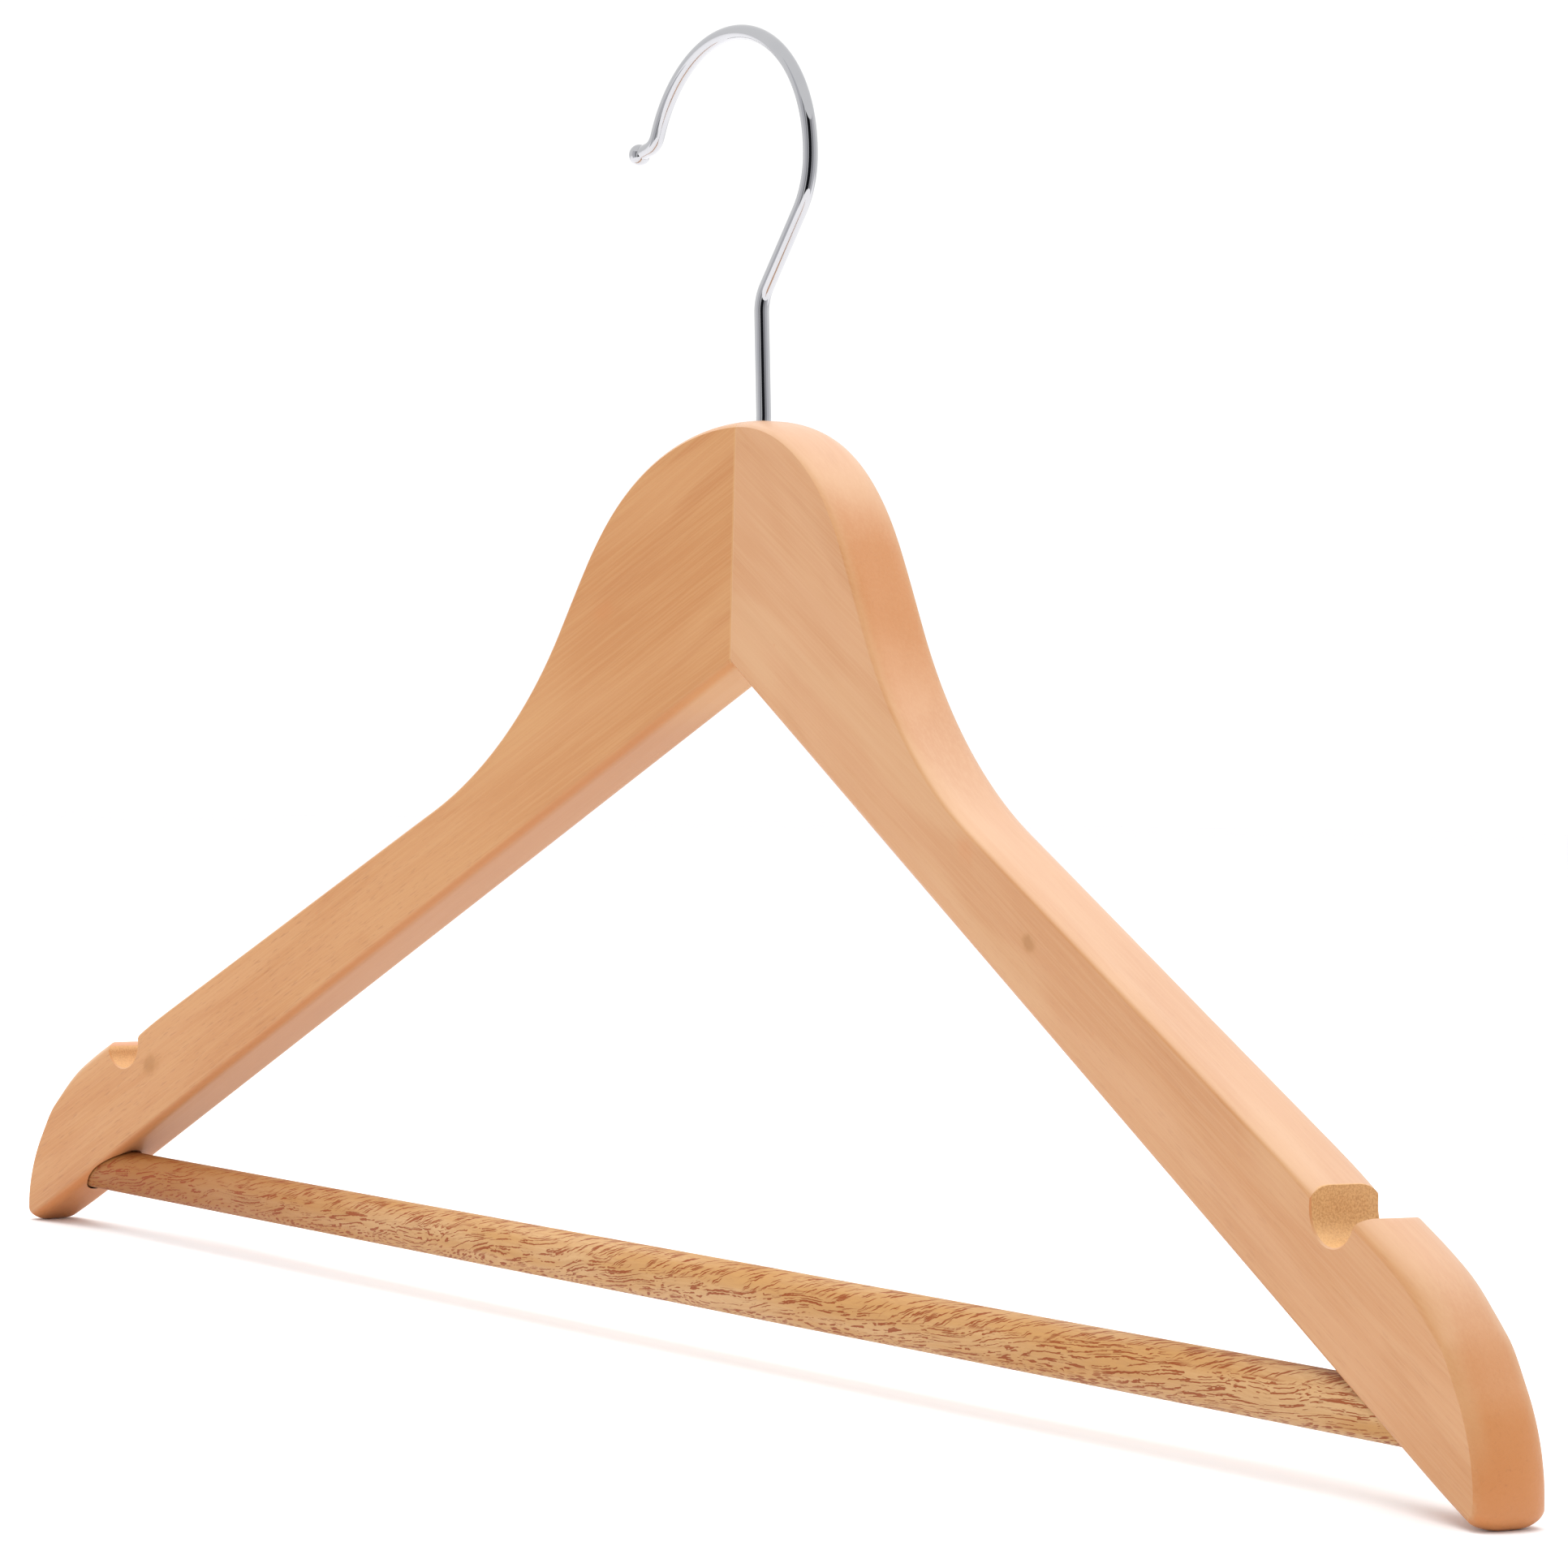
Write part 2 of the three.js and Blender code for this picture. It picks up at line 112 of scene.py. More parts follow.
# finger joint of the arms
TONGUE_THICKNESS = 6
TONGUE_LENGTH = 9
TONGUE_ROOT = 2
TONGUE_TOP = 151
TONGUE_BOTTOM = 127

# hook
WIRE_RADIUS = 1.35
LOOP_RADIUS = 25.2
LOOP_OFFSET = -12.7
LOOP_HEIGHT = 207.9
LOOP_END_ANGLE = 159.3
HEEL_RADIUS = 15.2
RISE_ANGLE = 36.8
BEND_RADIUS = 7
FLARE_RADIUS = 3.5
FLARE_ANGLE = 56.8
FLARE_LENGTH = 3.5
BALL_RADIUS = 2
BALL_SQUASH = 0.96              # the ball is a little shorter than wide
BALL_RINGS = 14
BALL_LAST_TURN = 176            # the last ring is a tiny flat end, degrees round from the wire
SHANK_LEAN = 4.2
SHANK_BOTTOM = 131.5
SHANK_LEAN_START = 163
HEAD_RADIUS = 2.2
HEAD_HEIGHT = 1.2
WIRE_SIDES = 32

# trouser bar
BAR_EASE = 0.4                  # its corners are broken this much
BAR_WANDER = 0.05
BAR_STEPS = 160

# bores in the wood
POCKET_RADIUS = 3.6
POCKET_BOTTOM = 130.5
POCKET_TOP = 136.4
BORE_RIM = 0.3
TENON_RADIUS = 3
TENON_LENGTH = 5.5
GAP = 0.3
SPARE = 10                      # cutters run this far past the surface that they open
ROUND_SIDES = 64
SHARP_ANGLE = 35                # shading breaks where two faces turn more than this, degrees

# brads
BRAD_HEAD_OVERHANG = 0.4
BRAD_HEAD_HEIGHT = 0.5
BRAD_TIP_RADIUS = 0.06
BRAD_TIP_LENGTH = 1.2
BRAD_SIDES = 32

# the row's origin is the inside top of the loop, and this leads from it to the seam at tip level
TO_ROW = Vector((-LOOP_OFFSET, 0, -(LOOP_HEIGHT + LOOP_RADIUS - WIRE_RADIUS)))

# ---- Drawing helpers ----------------------------------------------------------------------------


def heading(degrees):
    """A unit step at an angle in a drawing plane."""
    return Vector((math.cos(math.radians(degrees)), math.sin(math.radians(degrees))))


def arc(centre, radius, start, stop, step):
    """Points of an arc, ends included, at most `step` apart."""
    count = max(2, math.ceil(abs(math.radians(stop - start)) * radius / step))
    return [centre + heading(start + (stop - start) * i / count) * radius for i in range(count + 1)]


def line(start, stop, step):
    """Points of a line, ends included, at most `step` apart."""
    count = max(1, math.ceil((stop - start).length / step))
    return [start.lerp(stop, i / count) for i in range(count + 1)]


def crossing(a, heading_a, b, heading_b):
    """Where two lines cross, each given by a point and its heading in degrees."""
    u, v = heading(heading_a), heading(heading_b)
    return a + u * ((b - a).cross(v) / u.cross(v))


def loft(rings):
    """A closed solid through rings of equally many points, with a flat cap at each end."""
    solid = bmesh.new()
    loops = [[solid.verts.new(point) for point in ring] for ring in rings]
    for near, far in zip(loops, loops[1:]):
        for i in range(len(near)):
            j = (i + 1) % len(near)
            solid.faces.new((near[i], near[j], far[j], far[i]))
    solid.faces.new(reversed(loops[0]))
    solid.faces.new(loops[-1])
    bmesh.ops.recalc_face_normals(solid, faces=solid.faces)
    return solid


def circle(centre, side, up, radius, sides=ROUND_SIDES):
    """Points round a circle that the two unit vectors span."""
    turns = [heading(360 * i / sides) * radius for i in range(sides)]
    return [centre + side * turn.x + up * turn.y for turn in turns]


def lathe(profile, start, axis, sides=ROUND_SIDES):
    """A turned solid. The profile lists (distance along the axis, radius) pairs."""
    side = axis.orthogonal().normalized()
    up = axis.cross(side)
    return loft([circle(start + axis * along, side, up, radius, sides) for along, radius in profile])


def solid_object(name, solid):
    """A Blender object from a solid in millimetres in the row frame."""
    solid.transform(Matrix.Scale(MM, 4))
    mesh = bpy.data.meshes.new(name)
    solid.to_mesh(mesh)
    solid.free()
    made = bpy.data.objects.new(name, mesh)
    bpy.context.scene.collection.objects.link(made)
    return made


def combine(piece, tool, operation):
    """Cuts the tool from the piece, or joins it on, and removes the tool."""
    step = piece.modifiers.new(operation, "BOOLEAN")
    step.operation = operation
    step.solver = "EXACT"
    step.object = tool
    bpy.context.view_layer.update()
    depsgraph = bpy.context.evaluated_depsgraph_get()
    combined = bpy.data.meshes.new_from_object(piece.evaluated_get(depsgraph))
    piece.modifiers.clear()
    piece.data = combined
    bpy.data.objects.remove(tool)


def shade(piece):
    """Smooth shading, broken only at real corners."""
    piece.data.shade_smooth()
    piece.data.set_sharp_from_angle(angle=math.radians(SHARP_ANGLE))


def hand_over(piece, node, body, material):
    """Puts a finished piece in the place of its CAD node."""
    shade(piece)
    piece.data.materials.clear()
    piece.data.materials.append(material)
    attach(piece, body)
    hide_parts(node)


# ---- Arms ---------------------------------------------------------------------------------------


def shoulder_line(along):
    return SHOULDER_HEIGHT - along * math.tan(math.radians(SHOULDER_ANGLE))


def underside_line(along):
    return CROTCH_HEIGHT - along * math.tan(math.radians(UNDERSIDE_ANGLE))


def tip_stretches():
    """The foot and the tip's two curves, from the underside up to the shoulder line."""
    foot_reach = ARM_REACH - FOOT_RADIUS
    foot_height = underside_line(foot_reach) + FOOT_RADIUS / math.cos(math.radians(UNDERSIDE_ANGLE))
    foot = arc(Vector((foot_reach, foot_height)), FOOT_RADIUS, -90 - UNDERSIDE_ANGLE, 0, 0.35)
    start = 90 - SHOULDER_ANGLE
    middle = start - TIP_TOP_SWEEP
    hub = heading(middle) * (TIP_TOP_RADIUS - TIP_END_RADIUS)
    top_reach = ARM_REACH - TIP_END_RADIUS - hub.x
    top_height = shoulder_line(top_reach) - TIP_TOP_RADIUS / math.cos(math.radians(SHOULDER_ANGLE))
    top_centre = Vector((top_reach, top_height))
    end = arc(top_centre + hub, TIP_END_RADIUS, 0, middle, 0.8)
    top = arc(top_centre, TIP_TOP_RADIUS, middle, start, 1.2)
    return foot, end, top


def waist_stretch():
    """The hollow curve from the shoulder up to the neck's straight flank."""
    crown_centre = Vector((0, CROWN_TOP - CROWN_RADIUS))
    crown_end = crown_centre + heading(90 - NECK_ANGLE) * CROWN_RADIUS
    corner = crossing(crown_end, -NECK_ANGLE, Vector((0, SHOULDER_HEIGHT)), -SHOULDER_ANGLE)
    reach = WAIST_RADIUS * math.tan(math.radians((NECK_ANGLE - SHOULDER_ANGLE) / 2))
    shoulder_end = corner + heading(-SHOULDER_ANGLE) * reach
    centre = shoulder_end + heading(90 - SHOULDER_ANGLE) * WAIST_RADIUS
    return arc(centre, WAIST_RADIUS, -90 - SHOULDER_ANGLE, -90 - NECK_ANGLE, 1.5)


def crown_stretch():
    past = math.degrees(math.asin(PAST_SEAM / CROWN_RADIUS))
    return arc(Vector((0, CROWN_TOP - CROWN_RADIUS)), CROWN_RADIUS, 90 - NECK_ANGLE, 90 + past, 1.0)


def hump(stretch):
    """Moves the points of the tip outward to its hump."""
    raised = []
    for i, point in enumerate(stretch):
        along = (stretch[min(i + 1, len(stretch) - 1)] - stretch[max(i - 1, 0)]).normalized()
        share = min(abs(point.y - HUMP_MIDDLE) / HUMP_REACH, 1)
        swell = HUMP_HEIGHT * math.cos(share * math.pi / 2) ** 2
        raised.append(point + Vector((along.y, -along.x)) * swell)
    return raised


def arm_outline():
    """The arm's side view anticlockwise, as (point, edge rounding) pairs."""
    foot, end, top = tip_stretches()
    waist = waist_stretch()
    crown = crown_stretch()
    under_start = Vector((-PAST_SEAM, underside_line(-PAST_SEAM)))
    over_notch = Vector((NOTCH_REACH, shoulder_line(NOTCH_REACH)))
    outer = hump([*end, *top[1:], *line(top[-1], over_notch, 2.5)[1:]])
    stretches = [
        (line(under_start, foot[0], 2.5), UNDERSIDE_EDGE),
        (foot[1:], FOOT_EDGE),
        (outer[1:len(end)], TIP_EDGE),
        (outer[len(end):], HUMP_EDGE),
        (line(over_notch, waist[0], 2.5)[1:], TOP_EDGE),
        (waist[1:], TOP_EDGE),
        (line(waist[-1], crown[0], 1.5)[1:], TOP_EDGE),
        (crown[1:], CROWN_EDGE),
    ]
    points = [point for stretch, _ in stretches for point in stretch]
    edges = [Vector(edge) for stretch, edge in stretches for _ in stretch]
    for _ in range(EDGE_BLEND_PASSES):
        inner = [(a + 2 * b + c) / 4 for a, b, c in zip(edges, edges[1:], edges[2:])]
        edges = [edges[0], *inner, edges[-1]]
    return points, edges


def board_rings(points, edges):
    """Rings of the board from its front face to its back face, rounded at both."""
    inward = []
    for i in range(len(points)):
        along = (points[(i + 1) % len(points)] - points[i - 1]).normalized()
        inward.append(Vector((-along.y, along.x)))
    half = ARM_THICKNESS / 2
    turns = [heading(EDGE_ARC * step / EDGE_STEPS) for step in range(EDGE_STEPS + 1)]
    rings = []
    for face in (-1, 1):
        side_rings = []
        for turn in turns[:-1]:
            into = (1 - turn.x) / (1 - turns[-1].x)
            short = 1 - turn.y / turns[-1].y
            side_rings.append([
                (p + n * edge.x * into, face * (half - edge.y * short))
                for p, n, edge in zip(points, inward, edges)
            ])
        for margin in (ARRIS, ARRIS + FLAT_MARGIN):
            side_rings.append([(p + n * (edge.x + margin), face * half)
                               for p, n, edge in zip(points, inward, edges)])
        rings += side_rings if face > 0 else side_rings[::-1]
    return rings


def lean(along, across, height, side):
    """From distances along an arm, through it and up, to a place in the row frame."""
    turn = math.radians(ARM_PLAN_ANGLE)
    x = side * (along * math.cos(turn) + across * math.sin(turn))
    y = across * math.cos(turn) - along * math.sin(turn)
    return Vector((x, y, height)) + TO_ROW


def board(side):
    """One arm's board, cut off at the seam, where it has a fine chamfer."""
    rings = [[lean(p.x, across, p.y, side) for p, across in ring]
             for ring in board_rings(*arm_outline())]
    solid = loft(rings)
    cut = bmesh.ops.bisect_plane(
        solid, geom=solid.verts[:] + solid.edges[:] + solid.faces[:],
        plane_co=TO_ROW + Vector((side * SEAM_CHAMFER, 0, 0)), plane_no=Vector((-side, 0, 0)),
        clear_outer=True)
    rim = [item for item in cut["geom_cut"] if isinstance(item, bmesh.types.BMEdge)]
    end = bmesh.ops.contextual_create(solid, geom=rim)["faces"]
    bmesh.ops.recalc_face_normals(solid, faces=solid.faces)
    bmesh.ops.inset_individual(solid, faces=end, thickness=SEAM_CHAMFER, depth=SEAM_CHAMFER)
    return solid


def notch_outline():
    """The strap notch: half a round with a straight wall inside and a rounded lip outside."""
    centre = Vector((NOTCH_REACH, NOTCH_HEIGHT))
    out = heading(90 - SHOULDER_ANGLE)
    depth = (shoulder_line(NOTCH_REACH) - NOTCH_HEIGHT) * out.y
    sunk = depth + HUMP_HEIGHT - NOTCH_LIP_RADIUS
    reach = math.sqrt((NOTCH_RADIUS + NOTCH_LIP_RADIUS) ** 2 - sunk ** 2)
    lip_centre = centre + heading(-SHOULDER_ANGLE) * reach + out * sunk
    meeting = math.degrees(math.atan2(lip_centre.y - centre.y, lip_centre.x - centre.x))
    round_part = arc(centre, NOTCH_RADIUS, -180, meeting, 0.5)
    lip = arc(lip_centre, NOTCH_LIP_RADIUS, meeting + 180, 90 - SHOULDER_ANGLE, 0.3)
    neck_top = round_part[0] + Vector((0, SPARE))
    return [*round_part, *lip[1:], lip[-1] + out, neck_top]


def notch_cutter(side):
    """Cuts the strap notch with finely chamfered rims."""
    outline = notch_outline()
    middle = Vector((NOTCH_REACH, NOTCH_HEIGHT))
    reach = ARM_THICKNESS / 2
    sections = [(-reach - 1, NOTCH_RIM + 1), (-reach + NOTCH_RIM, 0),
                (reach - NOTCH_RIM, 0), (reach + 1, NOTCH_RIM + 1)]
    rings = []
    for across, grow in sections:
        grown = [p + (p - middle).normalized() * grow for p in outline]
        rings.append([lean(p.x, across, p.y, side) for p in grown])
    return loft(rings)


def tongue(grow):
    """The right arm's blind tongue, or with `grow` the slot for it in the left arm."""
    half = TONGUE_THICKNESS / 2 + grow
    low, high = TONGUE_BOTTOM - grow, TONGUE_TOP + grow
    slant = TONGUE_LENGTH / 2
    end = -TONGUE_LENGTH - grow
    outline = [(end, low), (TONGUE_ROOT, low), (TONGUE_ROOT, high), (end, high - slant)]
    return loft([[Vector((x, y, z)) + TO_ROW for x, z in outline] for y in (-half, half)])


def hook_bore():
    """The shank's bore, opened a little at the crown, above the pocket that its collar turns in."""
    bore = WIRE_RADIUS + GAP
    profile = [
        (POCKET_BOTTOM, POCKET_RADIUS), (POCKET_TOP, POCKET_RADIUS), (POCKET_TOP, bore),
        (CROWN_TOP - BORE_RIM, bore), (CROWN_TOP + SPARE, bore + BORE_RIM + SPARE),
    ]
    return lathe(profile, TO_ROW, Vector((0, 0, 1)))


def socket(side):
    """The stepped blind socket for one end of the bar, which the frame places."""
    low, high = (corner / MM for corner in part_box("trouser_bar"))
    middle = (low + high) / 2
    radius = (high.z - low.z) / 2
    end = (high.x - low.x) / 2
    profile = [
        (end - TENON_LENGTH - 4 * SPARE, radius + GAP), (end - TENON_LENGTH + GAP, radius + GAP),
        (end - TENON_LENGTH + GAP, TENON_RADIUS + GAP), (end + GAP, TENON_RADIUS + GAP),
    ]
    return lathe(profile, middle, Vector((side, 0, 0)))


def arm(side, name, node, material):
    made = solid_object(name, board(side))
    combine(made, solid_object("notch", notch_cutter(side)), "DIFFERENCE")
    if side > 0:
        combine(made, solid_object("tongue", tongue(0)), "UNION")
    else:
        combine(made, solid_object("slot", tongue(GAP)), "DIFFERENCE")
    combine(made, solid_object("bore", hook_bore()), "DIFFERENCE")
    combine(made, solid_object("socket", socket(side)), "DIFFERENCE")
    pin = "bar_pin_right" if side > 0 else "bar_pin_left"
    combine(made, solid_object("pin_hole", brad_shape(pin, GAP)), "DIFFERENCE")
    hand_over(made, node, "hanger_body", material)


# ---- Trouser bar and its brads ------------------------------------------------------------------


def brad_shape(node, grow):
    """A domed brad along Y inside its CAD node's box, or with `grow` the hole for it."""
    low, high = (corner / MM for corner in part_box(node))
    head_radius = (high.x - low.x) / 2
    shaft_radius = head_radius - BRAD_HEAD_OVERHANG
    length = high.y - low.y
    under_head = length - BRAD_HEAD_HEIGHT
    start = Vector(((low.x + high.x) / 2, low.y, (low.z + high.z) / 2))
    if grow:
        profile = [(-grow, shaft_radius), (under_head - grow, shaft_radius + grow),
                   (under_head - grow, head_radius + grow), (length + SPARE, head_radius + grow)]
    else:
        profile = [
            (0, BRAD_TIP_RADIUS), (BRAD_TIP_LENGTH, shaft_radius), (under_head, shaft_radius),
            (under_head + 0.04, head_radius - 0.05), (length - 0.4, head_radius),
            (length - 0.22, head_radius), (length - 0.1, head_radius * 0.86),
            (length - 0.03, head_radius * 0.55), (length, head_radius * 0.12),
        ]
    return lathe(profile, start, Vector((0, 1, 0)), BRAD_SIDES)


def trouser_bar(material):
    """A dowel with a tenon at each end. Its surface wanders a few hundredths, as turned wood does."""
    low, high = (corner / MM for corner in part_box("trouser_bar"))
    middle = (low + high) / 2
    radius = (high.z - low.z) / 2
    end = (high.x - low.x) / 2
    shoulder = end - TENON_LENGTH
    half = [(end, TENON_RADIUS - BAR_EASE), (end - BAR_EASE, TENON_RADIUS),
            (shoulder, TENON_RADIUS), (shoulder, radius - BAR_EASE), (shoulder - BAR_EASE, radius)]
    reach = shoulder - 1
    body = [(-reach + 2 * reach * i / BAR_STEPS, radius) for i in range(BAR_STEPS + 1)]
    profile = [(-along, r) for along, r in half] + body + half[::-1]
    solid = lathe(profile, middle, Vector((1, 0, 0)))
    for vert in solid.verts:
        spoke = Vector((0, vert.co.y - middle.y, vert.co.z - middle.z))
        wander = noise.noise(Vector((vert.co.x / 40, spoke.y / 6, spoke.z / 6)))
        vert.co -= spoke.normalized() * BAR_WANDER * (1 + wander)
    made = solid_object("trouser_bar_rod", solid)
    for pin in ("bar_pin_left", "bar_pin_right"):
        combine(made, solid_object("pin_hole", brad_shape(pin, GAP)), "DIFFERENCE")
    hand_over(made, "trouser_bar", "hanger_body", material)


# ---- Hook ---------------------------------------------------------------------------------------


def wire_path():
    """The wire's centre line in X and height: shank, rise, heel, loop, flare."""
    loop_centre = Vector((LOOP_OFFSET, LOOP_HEIGHT))
    heel_centre = loop_centre + Vector((LOOP_RADIUS - HEEL_RADIUS, 0))
    rise_top = heel_centre + heading(-RISE_ANGLE) * HEEL_RADIUS
    lean_start = Vector((0, SHANK_LEAN_START))
    corner = crossing(lean_start, 90 + SHANK_LEAN, rise_top, 90 - RISE_ANGLE)
    cut = BEND_RADIUS * math.tan(math.radians((RISE_ANGLE + SHANK_LEAN) / 2))
    bend_start = corner - heading(90 + SHANK_LEAN) * cut
    bend = arc(bend_start + heading(SHANK_LEAN) * BEND_RADIUS, BEND_RADIUS,
               180 + SHANK_LEAN, 180 - RISE_ANGLE, 0.5)
    flare_centre = loop_centre + heading(LOOP_END_ANGLE) * (LOOP_RADIUS + FLARE_RADIUS)
    flare_start = LOOP_END_ANGLE + 180
    flare_stop = flare_start - FLARE_ANGLE
    flare = arc(flare_centre, FLARE_RADIUS, flare_start, flare_stop, 0.3)
    tail_end = flare[-1] + heading(flare_stop - 90) * FLARE_LENGTH
    return [
        *line(Vector((0, SHANK_BOTTOM)), lean_start, 1.5),
        *line(lean_start, bend[0], 1.5)[1:],
        *bend[1:],
        *line(bend[-1], rise_top, 1.5)[1:],
        *arc(heel_centre, HEEL_RADIUS, -RISE_ANGLE, 0, 0.8)[1:],
        *arc(loop_centre, LOOP_RADIUS, 0, LOOP_END_ANGLE, 0.9)[1:],
        *flare[1:],
        *line(flare[-1], tail_end, 0.5)[1:],
    ]


def wire_ring(centre, along, radius):
    """A ring of the wire where it runs in the direction `along`, in X and height."""
    side = Vector((-along.y, 0, along.x))
    middle = Vector((centre.x, 0, centre.y)) + TO_ROW
    return circle(middle, side, Vector((0, 1, 0)), radius, WIRE_SIDES)


def hook(material):
    """The bent wire with an upset head below and a ball at its end, as one solid."""
    path = wire_path()
    ways = [(path[min(i + 1, len(path) - 1)] - path[max(i - 1, 0)]).normalized()
            for i in range(len(path))]
    up = Vector((0, 1))
    head = [(0, HEAD_RADIUS - 0.3), (0.3, HEAD_RADIUS), (HEAD_HEIGHT - 0.2, HEAD_RADIUS),
            (HEAD_HEIGHT, HEAD_RADIUS - 0.2), (HEAD_HEIGHT, WIRE_RADIUS)]
    rings = [wire_ring(path[0] + up * rise, up, radius) for rise, radius in head]
    tail, last = path[-1], ways[-1]
    neck = math.sqrt(BALL_RADIUS ** 2 - WIRE_RADIUS ** 2) * BALL_SQUASH
    stop = tail - last * neck
    for point, way in zip(path[2:], ways[2:]):
        if (tail - point).length > neck + 0.1 or point.y > LOOP_HEIGHT + LOOP_RADIUS / 2:
            rings.append(wire_ring(point, way, WIRE_RADIUS))
    rings.append(wire_ring(stop, last, WIRE_RADIUS))
    first_turn = math.degrees(math.asin(WIRE_RADIUS / BALL_RADIUS))
    for i in range(1, BALL_RINGS + 1):
        turn = heading(180 - first_turn - (BALL_LAST_TURN - first_turn) * i / BALL_RINGS)
        ahead = last * turn.x * BALL_RADIUS * BALL_SQUASH
        rings.append(wire_ring(tail + ahead, last, turn.y * BALL_RADIUS))
    made = solid_object("hook_wire", loft(rings))
    hand_over(made, "hook", "hook", material)


def collar_nut(material):
    """The hexagonal collar above the shank's head, with its corners chamfered."""
    low, high = (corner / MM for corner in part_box("hook_nut"))
    base = Vector(((low.x + high.x) / 2, (low.y + high.y) / 2, low.z))
    corner_radius = (high.x - low.x) / 2
    height = high.z - low.z
    side, up = Vector((1, 0, 0)), Vector((0, 1, 0))
    blank = loft([circle(base + Vector((0, 0, z)), side, up, corner_radius, 6) for z in (0, height)])
    made = solid_object("collar_nut", blank)
    flats = corner_radius * math.cos(math.radians(30))
    chamfer = corner_radius - flats
    turned = [(0, flats), (chamfer / 2, corner_radius + 0.01),
              (height - chamfer / 2, corner_radius + 0.01), (height, flats)]
    combine(made, solid_object("turning", lathe(turned, base, Vector((0, 0, 1)))), "INTERSECT")
    bore = WIRE_RADIUS + GAP
    hole = [(-1, bore), (height + 1, bore)]
    combine(made, solid_object("hole", lathe(hole, base, Vector((0, 0, 1)))), "DIFFERENCE")
    hand_over(made, "hook_nut", "hook", material)


# ---- Materials ----------------------------------------------------------------------------------


def colour(red, green, blue):
    """A display colour of 0 to 255 as the linear colour that a shader takes."""
    def linear(value):
        share = value / 255
        return share / 12.92 if share <= 0.04045 else ((share + 0.055) / 1.055) ** 2.4
    return (linear(red), linear(green), linear(blue), 1)


class Shader:
    """A material's nodes, with short ways to add and join them."""

    def __init__(self, name):
        self.material = bpy.data.materials.new(name)
        self.material.use_nodes = True
        self.tree = self.material.node_tree
        self.surface = self.tree.nodes["Principled BSDF"]

    def put(self, socket, value):
        if isinstance(value, bpy.types.NodeSocket):
            self.tree.links.new(value, socket)
        else:
            socket.default_value = value

    def node(self, kind, inputs, output=0, **settings):
        made = self.tree.nodes.new(kind)
        for name, value in settings.items():
            setattr(made, name, value)
        for key, value in inputs.items():
            self.put(made.inputs[key], value)
        return made.outputs[output]

    def maths(self, operation, *values):
        return self.node("ShaderNodeMath", dict(enumerate(values)), operation=operation)

    def vector(self, operation, *values, output=0):
        return self.node("ShaderNodeVectorMath", dict(enumerate(values)), output, operation=operation)

    def place(self):
        return self.node("ShaderNodeTexCoord", {}, "Object")

    def turned(self, vector, rotation=(0, 0, 0), scale=(1, 1, 1)):
        return self.node("ShaderNodeMapping", {
            "Vector": vector, "Rotation": rotation, "Scale": scale})

    def noise(self, vector, stretch, detail=2.0, roughness=0.5, distortion=0.0):
        """Noise from 0 to 1, with `stretch` cells in a millimetre along each axis."""
        return self.node("ShaderNodeTexNoise", {
            "Vector": self.vector("MULTIPLY", vector, stretch), "Scale": 1.0,
            "Detail": detail, "Roughness": roughness, "Distortion": distortion})

    def waver(self, vector, stretch):
        """Noise with a value of its own for each axis."""
        return self.node("ShaderNodeTexNoise", {
            "Vector": self.vector("MULTIPLY", vector, stretch), "Scale": 1.0, "Detail": 1.0}, "Color")

    def between(self, value, low, high, to_low=0.0, to_high=1.0):
        """Eases a value between two limits into another range."""
        return self.node("ShaderNodeMapRange", {
            "Value": value, "From Min": low, "From Max": high, "To Min": to_low, "To Max": to_high},
            interpolation_type="SMOOTHSTEP")

    def mix(self, share, first, second):
        made = self.tree.nodes.new("ShaderNodeMix")
        made.data_type = "RGBA"
        self.put(made.inputs[0], share)
        self.put(made.inputs[6], first)
        self.put(made.inputs[7], second)
        return made.outputs[2]

    def bump(self, height, depth_mm, strength):
        return self.node("ShaderNodeBump", {
            "Height": height, "Distance": depth_mm * MM, "Strength": strength})

    def finish(self, **values):
        for name, value in values.items():
            self.put(self.surface.inputs[name.replace("_", " ")], value)
        return self.material


GRAIN_ANGLE = 27.4              # fall of the fibres along each arm, degrees
SPOT_LENGTHENING = 1.4          # knots and smudges are drawn out along the fibres
SPOT_DEPTH = 9
SPOT_RAGGED = 0.5

LIT_TOP = colour(238, 218, 206)
LIT_NOTCH = colour(228, 184, 134)
BAR_PALE = colour(194, 156, 112)
BAR_WARM = colour(184, 139, 86)
BAR_FIBRE = colour(172, 127, 82)
# painted shade for the bar's left end, where the left arm shades it
BAR_PAINTED_SHADE = colour(146, 90, 40)
BAR_PORE = colour(132, 50, 2)
CHROME_COOL = colour(180, 181, 185)
CHROME_WARM = colour(190, 190, 192)
STEEL_MOTTLE = colour(120, 118, 114)
BRAD_STEEL = colour(206, 204, 198)
NUT_STEEL = colour(196, 194, 188)


def arm_space(shader, side):
    """Millimetres along an arm from the seam, through the board, and up from tip level."""
    from_seam = shader.vector("SUBTRACT", shader.place(), tuple(TO_ROW * MM))
    return shader.turned(from_seam, rotation=(0, 0, math.radians(ARM_PLAN_ANGLE)),
                         scale=(side / MM, 1 / MM, 1 / MM))


def on_grain(along, height):
    """A point on an arm's front face in its grain space."""
    fall = math.radians(GRAIN_ANGLE)
    return Vector((along * math.cos(fall) - height * math.sin(fall), -ARM_THICKNESS / 2,
                   along * math.sin(fall) + height * math.cos(fall)))


